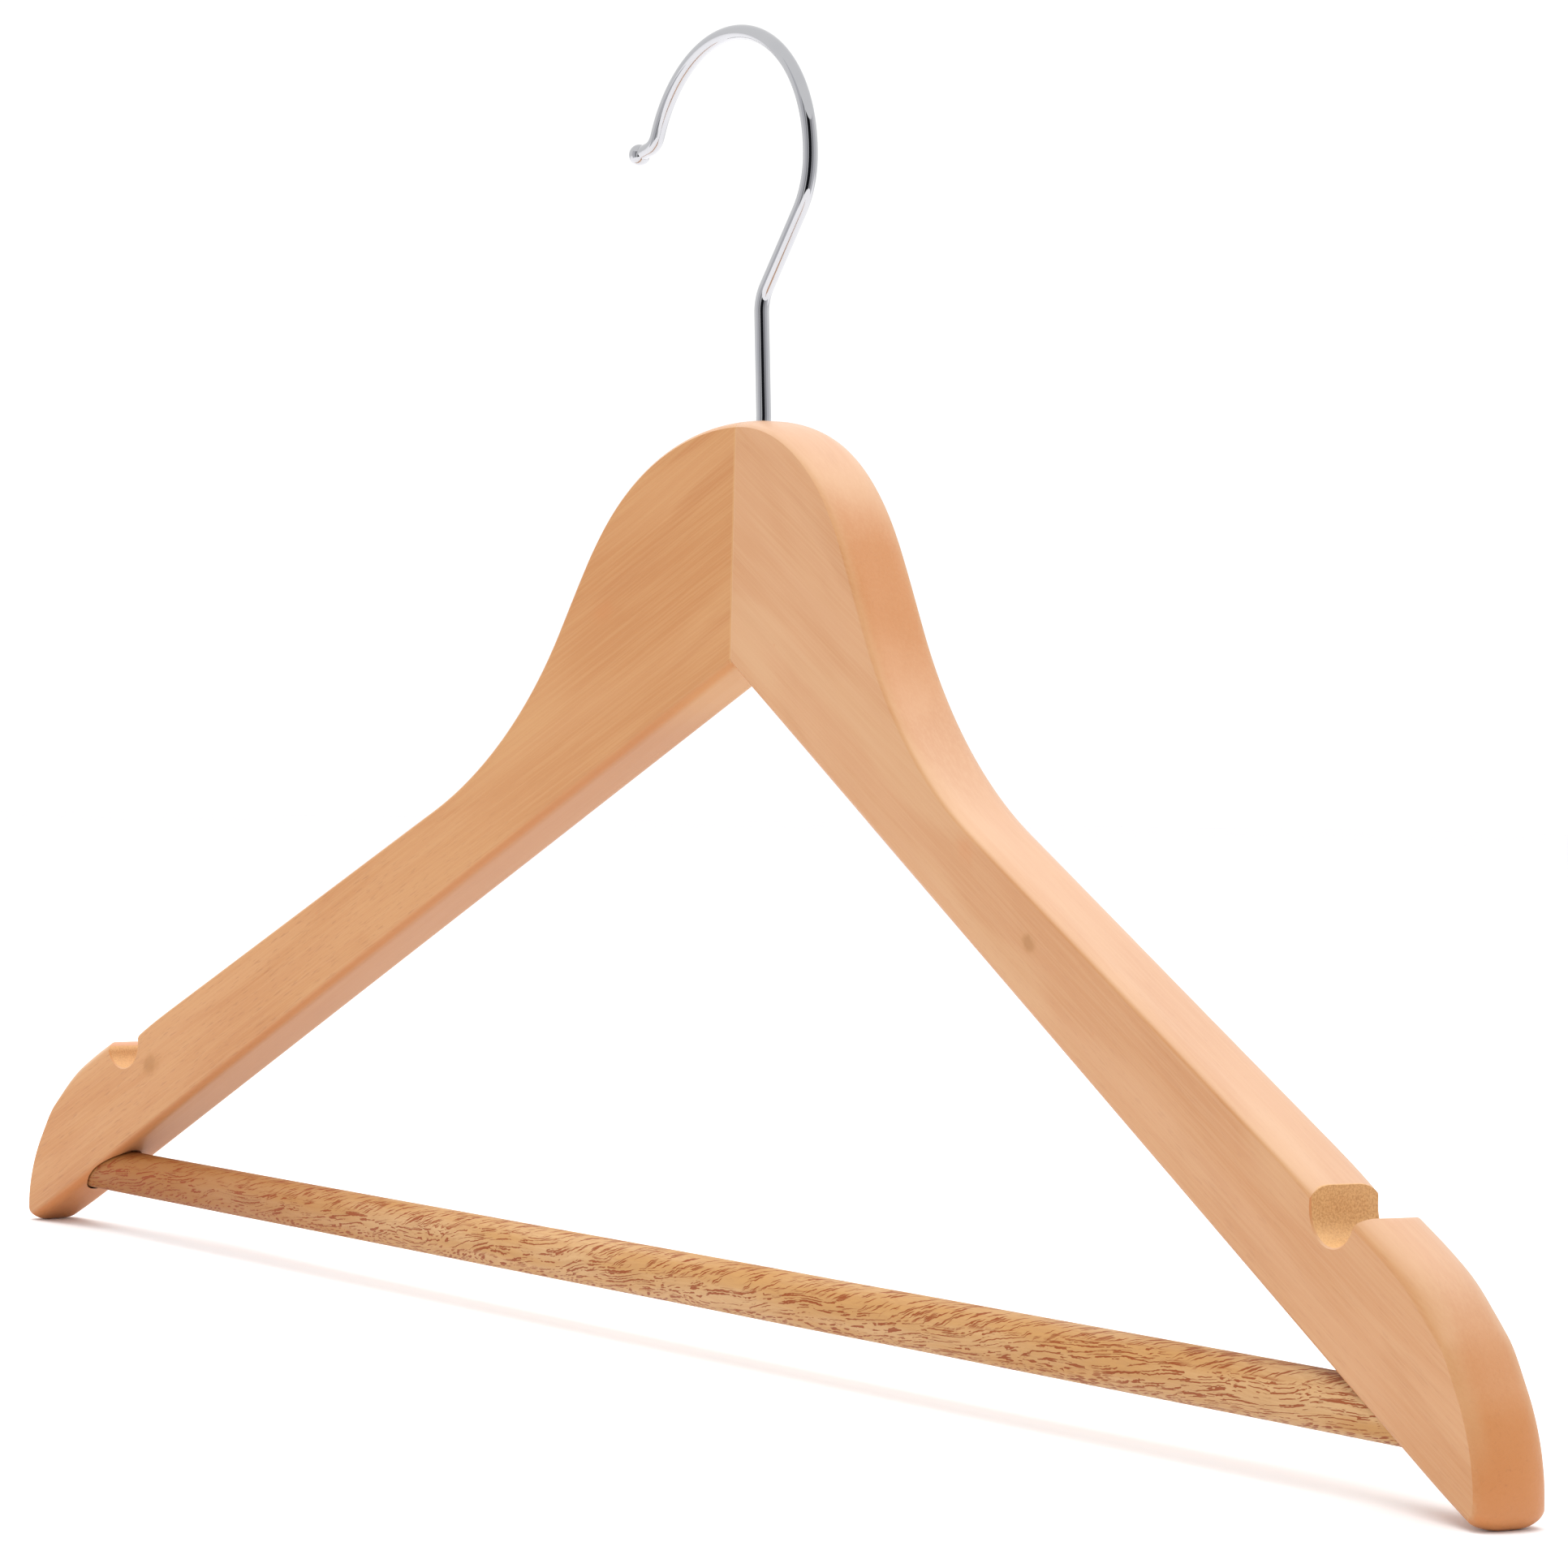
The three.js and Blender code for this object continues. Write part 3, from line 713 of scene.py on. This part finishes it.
def spot(shader, grain, centre, radius, softness):
    """1 inside a rounded spot round a point in grain space, fading to 0 at its rim."""
    stretch = (1 / (SPOT_LENGTHENING * radius), 1 / SPOT_DEPTH, 1 / radius)
    rough = shader.noise(grain, (0.5, 0.5, 0.5), detail=3)
    from_centre = shader.vector("MULTIPLY", shader.vector("SUBTRACT", grain, tuple(centre)), stretch)
    reach = shader.maths("ADD", shader.vector("LENGTH", from_centre, output="Value"),
                         shader.maths("MULTIPLY_ADD", rough, 2 * SPOT_RAGGED, -SPOT_RAGGED))
    return shader.between(reach, 1 - softness, 1, 1.0, 0.0)


class ArmSurface:
    """Which way an arm's surface faces at a point, as masks from 0 to 1."""

    def __init__(self, shader, side, arm):
        fall, turn = math.radians(GRAIN_ANGLE), math.radians(ARM_PLAN_ANGLE)
        facing = shader.node("ShaderNodeTexCoord", {}, "Normal")
        apart = shader.node("ShaderNodeSeparateXYZ", {"Vector": arm})
        self.height = apart.node.outputs[2]
        from_seam = shader.vector("SUBTRACT", shader.place(), tuple(TO_ROW * MM))
        self.aside = shader.node("ShaderNodeSeparateXYZ", {"Vector": from_seam})
        self.up = shader.node("ShaderNodeSeparateXYZ", {"Vector": facing}, 2)
        level = math.cos(fall)
        fibre = (side * level * math.cos(turn), -level * math.sin(turn), -math.sin(fall))
        through = (-side * math.sin(turn), -math.cos(turn), 0)
        self.across = self.agreement(shader, facing, fibre)
        self.flat = self.agreement(shader, facing, through)

    def agreement(self, shader, facing, way):
        return shader.maths("ABSOLUTE", shader.vector("DOT_PRODUCT", facing, way, output="Value"))

    def end_grain(self, shader):
        """Where the fibres are cut off. The darkening fades out at the crown's top, which is kept
        pale as painted light from above.
        """
        crown = shader.between(self.height, CROWN_TOP - 20, CROWN_TOP - 5, 1.0, 0.1)
        return shader.maths("MULTIPLY", shader.between(self.across, 0.12, 0.85), crown)

    def underside(self, shader):
        return shader.between(self.up, -0.75, -0.3, 1.0, 0.0)

    def foot(self, shader):
        """The underside near the foot, darkened like end grain: partly its cut fibres, partly painted
        shade close to the floor.
        """
        low = shader.between(self.height, 9, 26, 0.8, 0.0)
        return shader.maths("MULTIPLY", low, self.underside(shader))

    def arris(self, shader, upper):
        """The rounded corner between a broad face and the upper or the lower edge."""
        steep = shader.between(self.flat, 0.2, 0.5)
        ridge = shader.maths("MULTIPLY", steep, shader.between(self.flat, 0.8, 0.98, 1, 0))
        limits = (0.1, 0.4, 0, 1) if upper else (-0.4, -0.1, 1, 0)
        return shader.maths("MULTIPLY", ridge, shader.between(self.up, *limits))

    def seam(self, shader):
        """A thin lighter line along the seam between the two arms."""
        distance = shader.maths("ABSOLUTE", self.aside)
        line_share = shader.between(distance, 0.2 * MM, 0.45 * MM, 1.0, 0.0)
        return shader.maths("MULTIPLY", line_share, shader.between(self.flat, 0.5, 0.8))

    def crotch(self, shader):
        """The pale wood on both sides of the seam."""
        return shader.between(shader.maths("ABSOLUTE", self.aside), 6 * MM, 26 * MM, 0.5, 0.0)

    def notch(self, shader, arm):
        """The bare walls of the strap notch."""
        stretch = (1 / (NOTCH_RADIUS + 0.7), 0, 1 / (NOTCH_RADIUS + 4.5))
        middle = (NOTCH_REACH, 0, NOTCH_HEIGHT)
        from_middle = shader.vector("MULTIPLY", shader.vector("SUBTRACT", arm, middle), stretch)
        distance = shader.vector("LENGTH", from_middle, output="Value")
        inside = shader.between(distance, 0.93, 1.0, 1.0, 0.0)
        return shader.maths("MULTIPLY", inside, shader.between(self.flat, 0.3, 0.6, 1.0, 0.0))


def arm_wood(name, side, knots, smudges, palette):
    """Lacquered close-grained wood with fine fibres, soft figure and a few small knots."""
    shader = Shader(name)
    seed = 200.0 if side > 0 else 0.0
    arm = arm_space(shader, side)
    grain = shader.turned(arm, rotation=(0, -math.radians(GRAIN_ANGLE), 0))
    shifted = shader.vector("ADD", grain, (seed, seed, seed))
    surface = ArmSurface(shader, side, arm)

    # soft figure, streaks and hair-fine fibres
    figure = shader.noise(shifted, (0.01, 0.05, 0.06), detail=2.5, distortion=0.7)
    patches = shader.noise(shifted, (0.02, 0.09, 0.1), detail=3, distortion=1.0)
    bands = shader.noise(shifted, (0.02, 0.08, 0.1), detail=1)
    streaks = shader.noise(shifted, (0.014, 0.5, 0.6), detail=3, roughness=0.6)
    fibres = shader.noise(shifted, (0.045, 2.2, 2.6), detail=3, roughness=0.6)
    base = shader.mix(shader.between(figure, 0.36, 0.64), palette["pale"], palette["warm"])
    base = shader.mix(shader.between(patches, 0.5, 0.72, 0.0, 0.45), base, palette["deep"])
    light_bands = shader.between(bands, 0.52, 0.68, 0.0, palette["bands"])
    base = shader.mix(light_bands, base, palette["light"])
    base = shader.mix(shader.between(streaks, 0.5, 0.74, 0.0, 0.1), base, palette["deep"])
    base = shader.mix(shader.between(fibres, 0.4, 0.66, 0.0, 0.3), base, palette["light"])

    # short dark pores low on the face
    pores = shader.noise(shifted, (0.3, 3.6, 3.6), detail=1)
    pore_zone = shader.between(surface.height, 60, 110, palette["pores"], 0.0)
    shown_pores = shader.maths("MULTIPLY", shader.between(pores, 0.6, 0.72), pore_zone)
    base = shader.mix(shown_pores, base, palette["pore"])

    # the narrow edges
    # the end grain's darker colour, which near the foot also paints shade on the underside
    cut = shader.maths("MAXIMUM", surface.end_grain(shader), surface.foot(shader))
    specks = shader.noise(grain, (1.3, 1.3, 1.3), detail=4, roughness=0.7)
    # painted shade: faces that point down take a darker colour
    below = shader.maths("MULTIPLY", surface.underside(shader), 0.75)
    base = shader.mix(below, base, palette["painted_underside_shade"])
    crotch = shader.maths("MULTIPLY", surface.underside(shader), surface.crotch(shader))
    base = shader.mix(crotch, base, palette["light"])
    base = shader.mix(shader.maths("MULTIPLY", cut, 0.9), base, palette["end"])
    speck = shader.maths("MULTIPLY", cut, shader.between(specks, 0.55, 0.75, 0.0, 0.3))
    base = shader.mix(speck, base, palette["pore"])
    # painted highlight along the rounded upper edges
    painted_arris_highlight = shader.maths("MULTIPLY", surface.arris(shader, True), 0.35)
    base = shader.mix(painted_arris_highlight, base, palette["light"])
    # painted shade along the rounded lower edges
    painted_arris_shade = shader.maths("MULTIPLY", surface.arris(shader, False), 0.4)
    base = shader.mix(painted_arris_shade, base, palette["end"])
    base = shader.mix(shader.maths("MULTIPLY", surface.seam(shader), 0.5), base, palette["light"])
    base = shader.mix(shader.between(surface.up, 0.35, 0.9, 0.0, 0.2), base, LIT_TOP)
    bare = surface.notch(shader, arm)
    grit = shader.noise(grain, (3.2, 3.2, 3.2), detail=2, roughness=0.6)
    dusty = shader.between(grit, 0.35, 0.7, 0.0, 0.8)
    bare_tone = shader.mix(dusty, palette["bare"], palette["bare_dark"])
    lit_floor = shader.between(surface.up, 0.3, 0.8, 0.0, 0.3)
    bare_tone = shader.mix(lit_floor, bare_tone, LIT_NOTCH)
    base = shader.mix(bare, base, bare_tone)

    for along, height, radius in smudges:
        shade_mask = spot(shader, grain, on_grain(along, height), radius, 0.9)
        base = shader.mix(shader.maths("MULTIPLY", shade_mask, 0.35), base, palette["end"])
    for along, height, radius in knots:
        centre = on_grain(along, height)
        halo = spot(shader, grain, centre, radius * 1.5, 0.8)
        heart = spot(shader, grain, centre, radius, 0.8)
        base = shader.mix(shader.maths("MULTIPLY", halo, 0.4), base, palette["knot_rim"])
        base = shader.mix(shader.maths("MULTIPLY", heart, 0.7), base, palette["knot"])

    rough_cut = shader.maths("MAXIMUM", cut, bare)
    relief = shader.maths("SUBTRACT", fibres, shown_pores)
    relief = shader.maths("MULTIPLY_ADD", shader.maths("MULTIPLY", specks, rough_cut), 4.0, relief)
    normal = shader.bump(relief, 0.03, 0.7)
    rough = shader.between(streaks, 0.3, 0.7, 0.4, 0.5)
    dull = shader.maths("MAXIMUM", bare, surface.underside(shader))
    rough = shader.maths("ADD", rough, shader.maths("MULTIPLY", dull, 0.3))
    return shader.finish(Base_Color=base, Roughness=rough, Normal=normal,
                         Coat_Weight=0.3, Coat_Roughness=0.32, IOR=1.45, Specular_IOR_Level=0.4)


def dashes(shader, vector, stretch, reach):
    """Scattered pores drawn out into dashes, with `stretch` of them in a millimetre."""
    distance = shader.node("ShaderNodeTexVoronoi", {
        "Vector": shader.vector("MULTIPLY", vector, stretch), "Scale": 1.0})
    return shader.between(shader.maths("DIVIDE", distance, reach), 0.7, 1.0, 1.0, 0.0)


def bar_wood():
    """Tan wood with red-brown pores: strokes above, long lines in front, short dashes below."""
    shader = Shader("bar_wood")
    low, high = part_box("trouser_bar")
    from_middle = shader.vector("SUBTRACT", shader.place(), tuple((low + high) / 2))
    grain = shader.vector("MULTIPLY", from_middle, (1 / MM, 1 / MM, 1 / MM))
    apart = shader.node("ShaderNodeSeparateXYZ", {"Vector": grain})
    along, forward, height = apart.node.outputs
    around = shader.maths("ARCTAN2", height, shader.maths("MULTIPLY", forward, -1.0))
    girth = shader.maths("MULTIPLY", around, (high.z - low.z) / 2 / MM)
    drift = shader.noise(grain, (0.035, 0.1, 0.1), detail=2)
    girth_zone = shader.maths("ADD", girth, shader.maths("MULTIPLY_ADD", drift, 9.0, -4.5))

    # fibres that wave slowly and tremble finely
    sway = shader.waver(grain, (0.05, 0.12, 0.12))
    tremble = shader.waver(grain, (0.9, 0.9, 0.9))
    waved = shader.vector("MULTIPLY_ADD", sway, (0, 5, 5), grain)
    waved = shader.vector("MULTIPLY_ADD", tremble, (0.2, 0.3, 0.3), waved)
    size = shader.between(shader.noise(grain, (0.1, 0.5, 0.5), detail=1), 0.3, 0.7, 0.36, 0.52)

    lying = shader.turned(waved, rotation=(0, math.radians(7), 0))
    long_lines = shader.between(shader.noise(lying, (0.055, 3.2, 3.2), detail=1), 0.55, 0.6)
    sloped = shader.turned(waved, rotation=(0, math.radians(12), 0))
    short = dashes(shader, sloped, (0.3, 2.3, 2.3), size)
    rolled = shader.node("ShaderNodeCombineXYZ", {"X": along, "Y": girth, "Z": 0.0})
    rolled = shader.vector("MULTIPLY_ADD", tremble, (0.8, 0.8, 0), rolled)
    slant = shader.turned(rolled, rotation=(0, 0, -math.radians(30)))
    strokes = dashes(shader, slant, (0.22, 2.6, 1), size)
    behind = shader.between(girth, 8.5, 10.0, 1.0, 0.0)
    above = shader.maths("MULTIPLY", shader.between(girth_zone, 1.6, 3.0), behind)
    below = shader.between(girth_zone, -3.2, -2.0, 1.0, 0.0)
    pores = shader.node("ShaderNodeMix", {0: above, 2: long_lines, 3: strokes})
    pores = shader.node("ShaderNodeMix", {0: below, 2: pores, 3: short})

    figure = shader.noise(grain, (0.02, 0.2, 0.2), detail=3)
    fibres = shader.noise(waved, (0.08, 2.4, 2.4), detail=3, roughness=0.6)
    base = shader.mix(shader.between(figure, 0.35, 0.65), BAR_PALE, BAR_WARM)
    base = shader.mix(shader.between(fibres, 0.35, 0.7, 0.0, 0.45), base, BAR_FIBRE)
    # painted shade: the bar darkens towards its left end, beside the left arm
    base = shader.mix(shader.between(along, -190, -30, 0.9, 0.0), base, BAR_PAINTED_SHADE)
    base = shader.mix(shader.maths("MULTIPLY", pores, 0.85), base, BAR_PORE)
    relief = shader.maths("SUBTRACT", shader.maths("MULTIPLY", fibres, 0.4), pores)
    rough = shader.between(figure, 0.3, 0.7, 0.48, 0.6)
    return shader.finish(Base_Color=base, Roughness=rough, Normal=shader.bump(relief, 0.06, 0.7),
                         IOR=1.45, Specular_IOR_Level=0.2)


def chrome():
    """Bright plated wire with faint drawing marks and a little haze."""
    shader = Shader("hook_chrome")
    grain = shader.vector("MULTIPLY", shader.place(), (1 / MM, 1 / MM, 1 / MM))
    waves = shader.noise(grain, (0.8, 0.8, 0.8), detail=1)
    haze = shader.noise(grain, (0.12, 0.12, 0.12), detail=2)
    tint = shader.mix(haze, CHROME_COOL, CHROME_WARM)
    rough = shader.between(haze, 0.3, 0.7, 0.03, 0.06)
    return shader.finish(Base_Color=tint, Metallic=1.0, Roughness=rough,
                         Normal=shader.bump(waves, 0.005, 0.3))


def steel(name, tone):
    """Dull zinc-plated steel with fine scratches and mottling."""
    shader = Shader(name)
    grain = shader.vector("MULTIPLY", shader.place(), (1 / MM, 1 / MM, 1 / MM))
    mottle = shader.noise(grain, (1.2, 1.2, 1.2), detail=4, roughness=0.6)
    scratches = shader.noise(grain, (0.6, 9.0, 9.0), detail=2)
    tint = shader.mix(mottle, tone, STEEL_MOTTLE)
    rough = shader.between(mottle, 0.3, 0.7, 0.28, 0.5)
    return shader.finish(Base_Color=tint, Metallic=1.0, Roughness=rough,
                         Normal=shader.bump(scratches, 0.01, 0.5))


# ---- Studio -------------------------------------------------------------------------------------

CAMERA_YAW = 54.472             # degrees round from straight in front
CAMERA_PITCH = 0.2276           # downwards
CAMERA_ROLL = 1.310
CAMERA_PLACE = (0.6634, -0.4583, -0.1314)
CAMERA_LENS = 102.0


def camera():
    yaw, pitch = math.radians(CAMERA_YAW), math.radians(CAMERA_PITCH)
    level = math.cos(pitch)
    forward = Vector((-math.sin(yaw) * level, math.cos(yaw) * level, -math.sin(pitch)))
    right = forward.cross(Vector((0, 0, 1))).normalized()
    up = right.cross(forward)
    facing = Matrix((right, up, -forward)).transposed()
    facing = facing @ Matrix.Rotation(math.radians(CAMERA_ROLL), 3, "Z")
    data = bpy.data.cameras.new("camera")
    data.lens = CAMERA_LENS
    data.sensor_width = 36
    data.clip_start = 0.01
    data.clip_end = 100
    made = bpy.data.objects.new("camera", data)
    made.matrix_world = Matrix.Translation(CAMERA_PLACE) @ facing.to_4x4()
    bpy.context.scene.collection.objects.link(made)
    bpy.context.scene.camera = made


FLAG_RADIUS = 0.42
FLAG_STEP = 0.03
FLAG_MIDDLE = -35.5             # compass angle of the dark flag from +X, degrees
FLAG_TOP = 0.26
DARK_HALF = 20                  # the dark flag reaches this far to both sides, degrees
DARK_TONE = (30, 30, 34)
STRIP_ENDS = (-32, -25)         # the strip light's ends from the same middle, just inside the flags
STRIP_RADIUS = FLAG_RADIUS * 0.97
STRIP_TONE = (255, 255, 255)
GREY_FLAGS = ((20, 50, (172, 172, 175)), (50, 85, (232, 232, 235)))

FLOOR_SIZE = 12
FLOOR_TONE = (247, 246, 247)
FLOOR_ROUGHNESS = 0.9
BACKDROP_STRENGTH = 1.08
OVERHEAD_OFFSET = Vector((-0.25, 0.1, 1.6))
OVERHEAD_SIZE = (2.0, 1.4)
OVERHEAD_WATTS = 31


def sheet(name, centre, side, up, width, height, material):
    """A flat rectangle that isn't part of the object."""
    corners = [(-0.5, -0.5), (0.5, -0.5), (0.5, 0.5), (-0.5, 0.5)]
    mesh = bpy.data.meshes.new(name)
    points = [centre + side * x * width + up * y * height for x, y in corners]
    mesh.from_pydata(points, [], [(0, 1, 2, 3)])
    made = bpy.data.objects.new(name, mesh)
    made.data.materials.append(material)
    bpy.context.scene.collection.objects.link(made)
    made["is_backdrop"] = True
    return made


def plain(name, tone, roughness):
    return Shader(name).finish(Base_Color=tone, Roughness=roughness)


def glow(name, tone):
    """A card's even brightness, which needs no light of its own."""
    shader = Shader(name)
    shader.material.cycles.emission_sampling = "NONE"
    return shader.finish(Base_Color=colour(0, 0, 0), Roughness=1.0, Specular_IOR_Level=0.0,
                         Emission_Color=colour(*tone), Emission_Strength=1.0)


def area_light(name, place, target, width, height, watts):
    data = bpy.data.lights.new(name, "AREA")
    data.shape = "RECTANGLE"
    data.size = width
    data.size_y = height
    data.energy = watts
    made = bpy.data.objects.new(name, data)
    made.location = place
    made.visible_glossy = False
    made.rotation_euler = (Vector(target) - Vector(place)).to_track_quat("-Z", "Y").to_euler()
    bpy.context.scene.collection.objects.link(made)


def flag(name, start, stop, low, high, material, radius=FLAG_RADIUS):
    """A curved card round the hook that only glossy surfaces see, between two compass angles."""
    centre = (sum(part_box("hook"), Vector())) / 2
    points = []
    for turn in arc(Vector((centre.x, centre.y)), radius, start, stop, FLAG_STEP):
        points += [(turn.x, turn.y, low), (turn.x, turn.y, high)]
    mesh = bpy.data.meshes.new(name)
    mesh.from_pydata(points, [], [(i, i + 2, i + 3, i + 1) for i in range(0, len(points) - 2, 2)])
    made = bpy.data.objects.new(name, mesh)
    made.data.materials.append(material)
    bpy.context.scene.collection.objects.link(made)
    for ray in ("camera", "diffuse", "transmission", "shadow"):
        setattr(made, f"visible_{ray}", False)
    made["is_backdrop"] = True


def studio():
    low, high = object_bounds()
    middle = (low + high) / 2
    world = bpy.data.worlds.new("studio")
    world.use_nodes = True
    backdrop = world.node_tree.nodes["Background"]
    backdrop.inputs["Color"].default_value = (1, 1, 1, 1)
    backdrop.inputs["Strength"].default_value = BACKDROP_STRENGTH
    bpy.context.scene.world = world
    floor_centre = Vector((middle.x, middle.y, low.z))
    x, y = Vector((1, 0, 0)), Vector((0, 1, 0))
    paper = plain("floor_paper", colour(*FLOOR_TONE), FLOOR_ROUGHNESS)
    sheet("floor", floor_centre, x, y, FLOOR_SIZE, FLOOR_SIZE, paper)
    area_light("overhead", middle + OVERHEAD_OFFSET, middle, *OVERHEAD_SIZE, OVERHEAD_WATTS)

    # dark in front of the hook, ever lighter towards the sides
    front = FLAG_MIDDLE
    flag("dark_flag", front - DARK_HALF, front + DARK_HALF, low.z, FLAG_TOP,
         glow("dark_flag", DARK_TONE))
    strip = [front + end for end in STRIP_ENDS]
    flag("strip_light", *strip, low.z, FLAG_TOP, glow("strip_light", STRIP_TONE), STRIP_RADIUS)
    for side, word in ((-1, "left"), (1, "right")):
        for start, stop, tone in GREY_FLAGS:
            ends = sorted((front + side * start, front + side * stop))
            flag(f"grey_flag_{start}_{word}", *ends, low.z, FLAG_TOP, glow("grey_flag", tone))
    bpy.context.scene.view_settings.view_transform = "Standard"


# ---- Assembly -----------------------------------------------------------------------------------

# each palette's underside colour is painted shade for the faces that point down
LEFT_PALETTE = {
    "pale": colour(185, 131, 80), "warm": colour(178, 120, 66), "deep": colour(170, 107, 52),
    "light": colour(195, 149, 97), "pore": colour(142, 84, 43), "end": colour(184, 114, 58),
    "painted_underside_shade": colour(166, 117, 80), "bare": colour(188, 136, 84), "bare_dark": colour(158, 106, 60),
    "knot_rim": colour(174, 118, 60), "knot": colour(158, 104, 44), "bands": 0.2, "pores": 0.35,
}
RIGHT_PALETTE = {
    "pale": colour(188, 137, 92), "warm": colour(181, 126, 77), "deep": colour(173, 116, 65),
    "light": colour(194, 150, 106), "pore": colour(152, 93, 52), "end": colour(186, 118, 62),
    "painted_underside_shade": colour(176, 132, 99), "bare": colour(204, 158, 104), "bare_dark": colour(172, 124, 74),
    "knot_rim": colour(176, 122, 66), "knot": colour(156, 102, 40), "bands": 0.45, "pores": 0.15,
}

# small marks on the front faces: distance along the arm, height, radius
LEFT_KNOTS = [(177.9, 35.4, 2.5)]
LEFT_SMUDGES = [(121.6, 69.1, 0.5), (36.0, 128.0, 3.0)]
RIGHT_KNOTS = [(104.5, 73.4, 1.9)]
RIGHT_SMUDGES = [(84.2, 87.6, 3.0), (17.3, 121.5, 0.4), (124.1, 60.3, 0.4)]

camera()
left_wood = arm_wood("left_arm_wood", -1, LEFT_KNOTS, LEFT_SMUDGES, LEFT_PALETTE)
arm(-1, "left_arm_wood", "left_arm", left_wood)
right_wood = arm_wood("right_arm_wood", 1, RIGHT_KNOTS, RIGHT_SMUDGES, RIGHT_PALETTE)
arm(1, "right_arm_wood", "right_arm", right_wood)
trouser_bar(bar_wood())
hook(chrome())
collar_nut(steel("nut_steel", NUT_STEEL))
for pin in ("bar_pin_left", "bar_pin_right"):
    brad = solid_object(pin.replace("bar_pin", "brad"), brad_shape(pin, 0))
    hand_over(brad, pin, "hanger_body", steel(f"{pin}_steel", BRAD_STEEL))
studio()
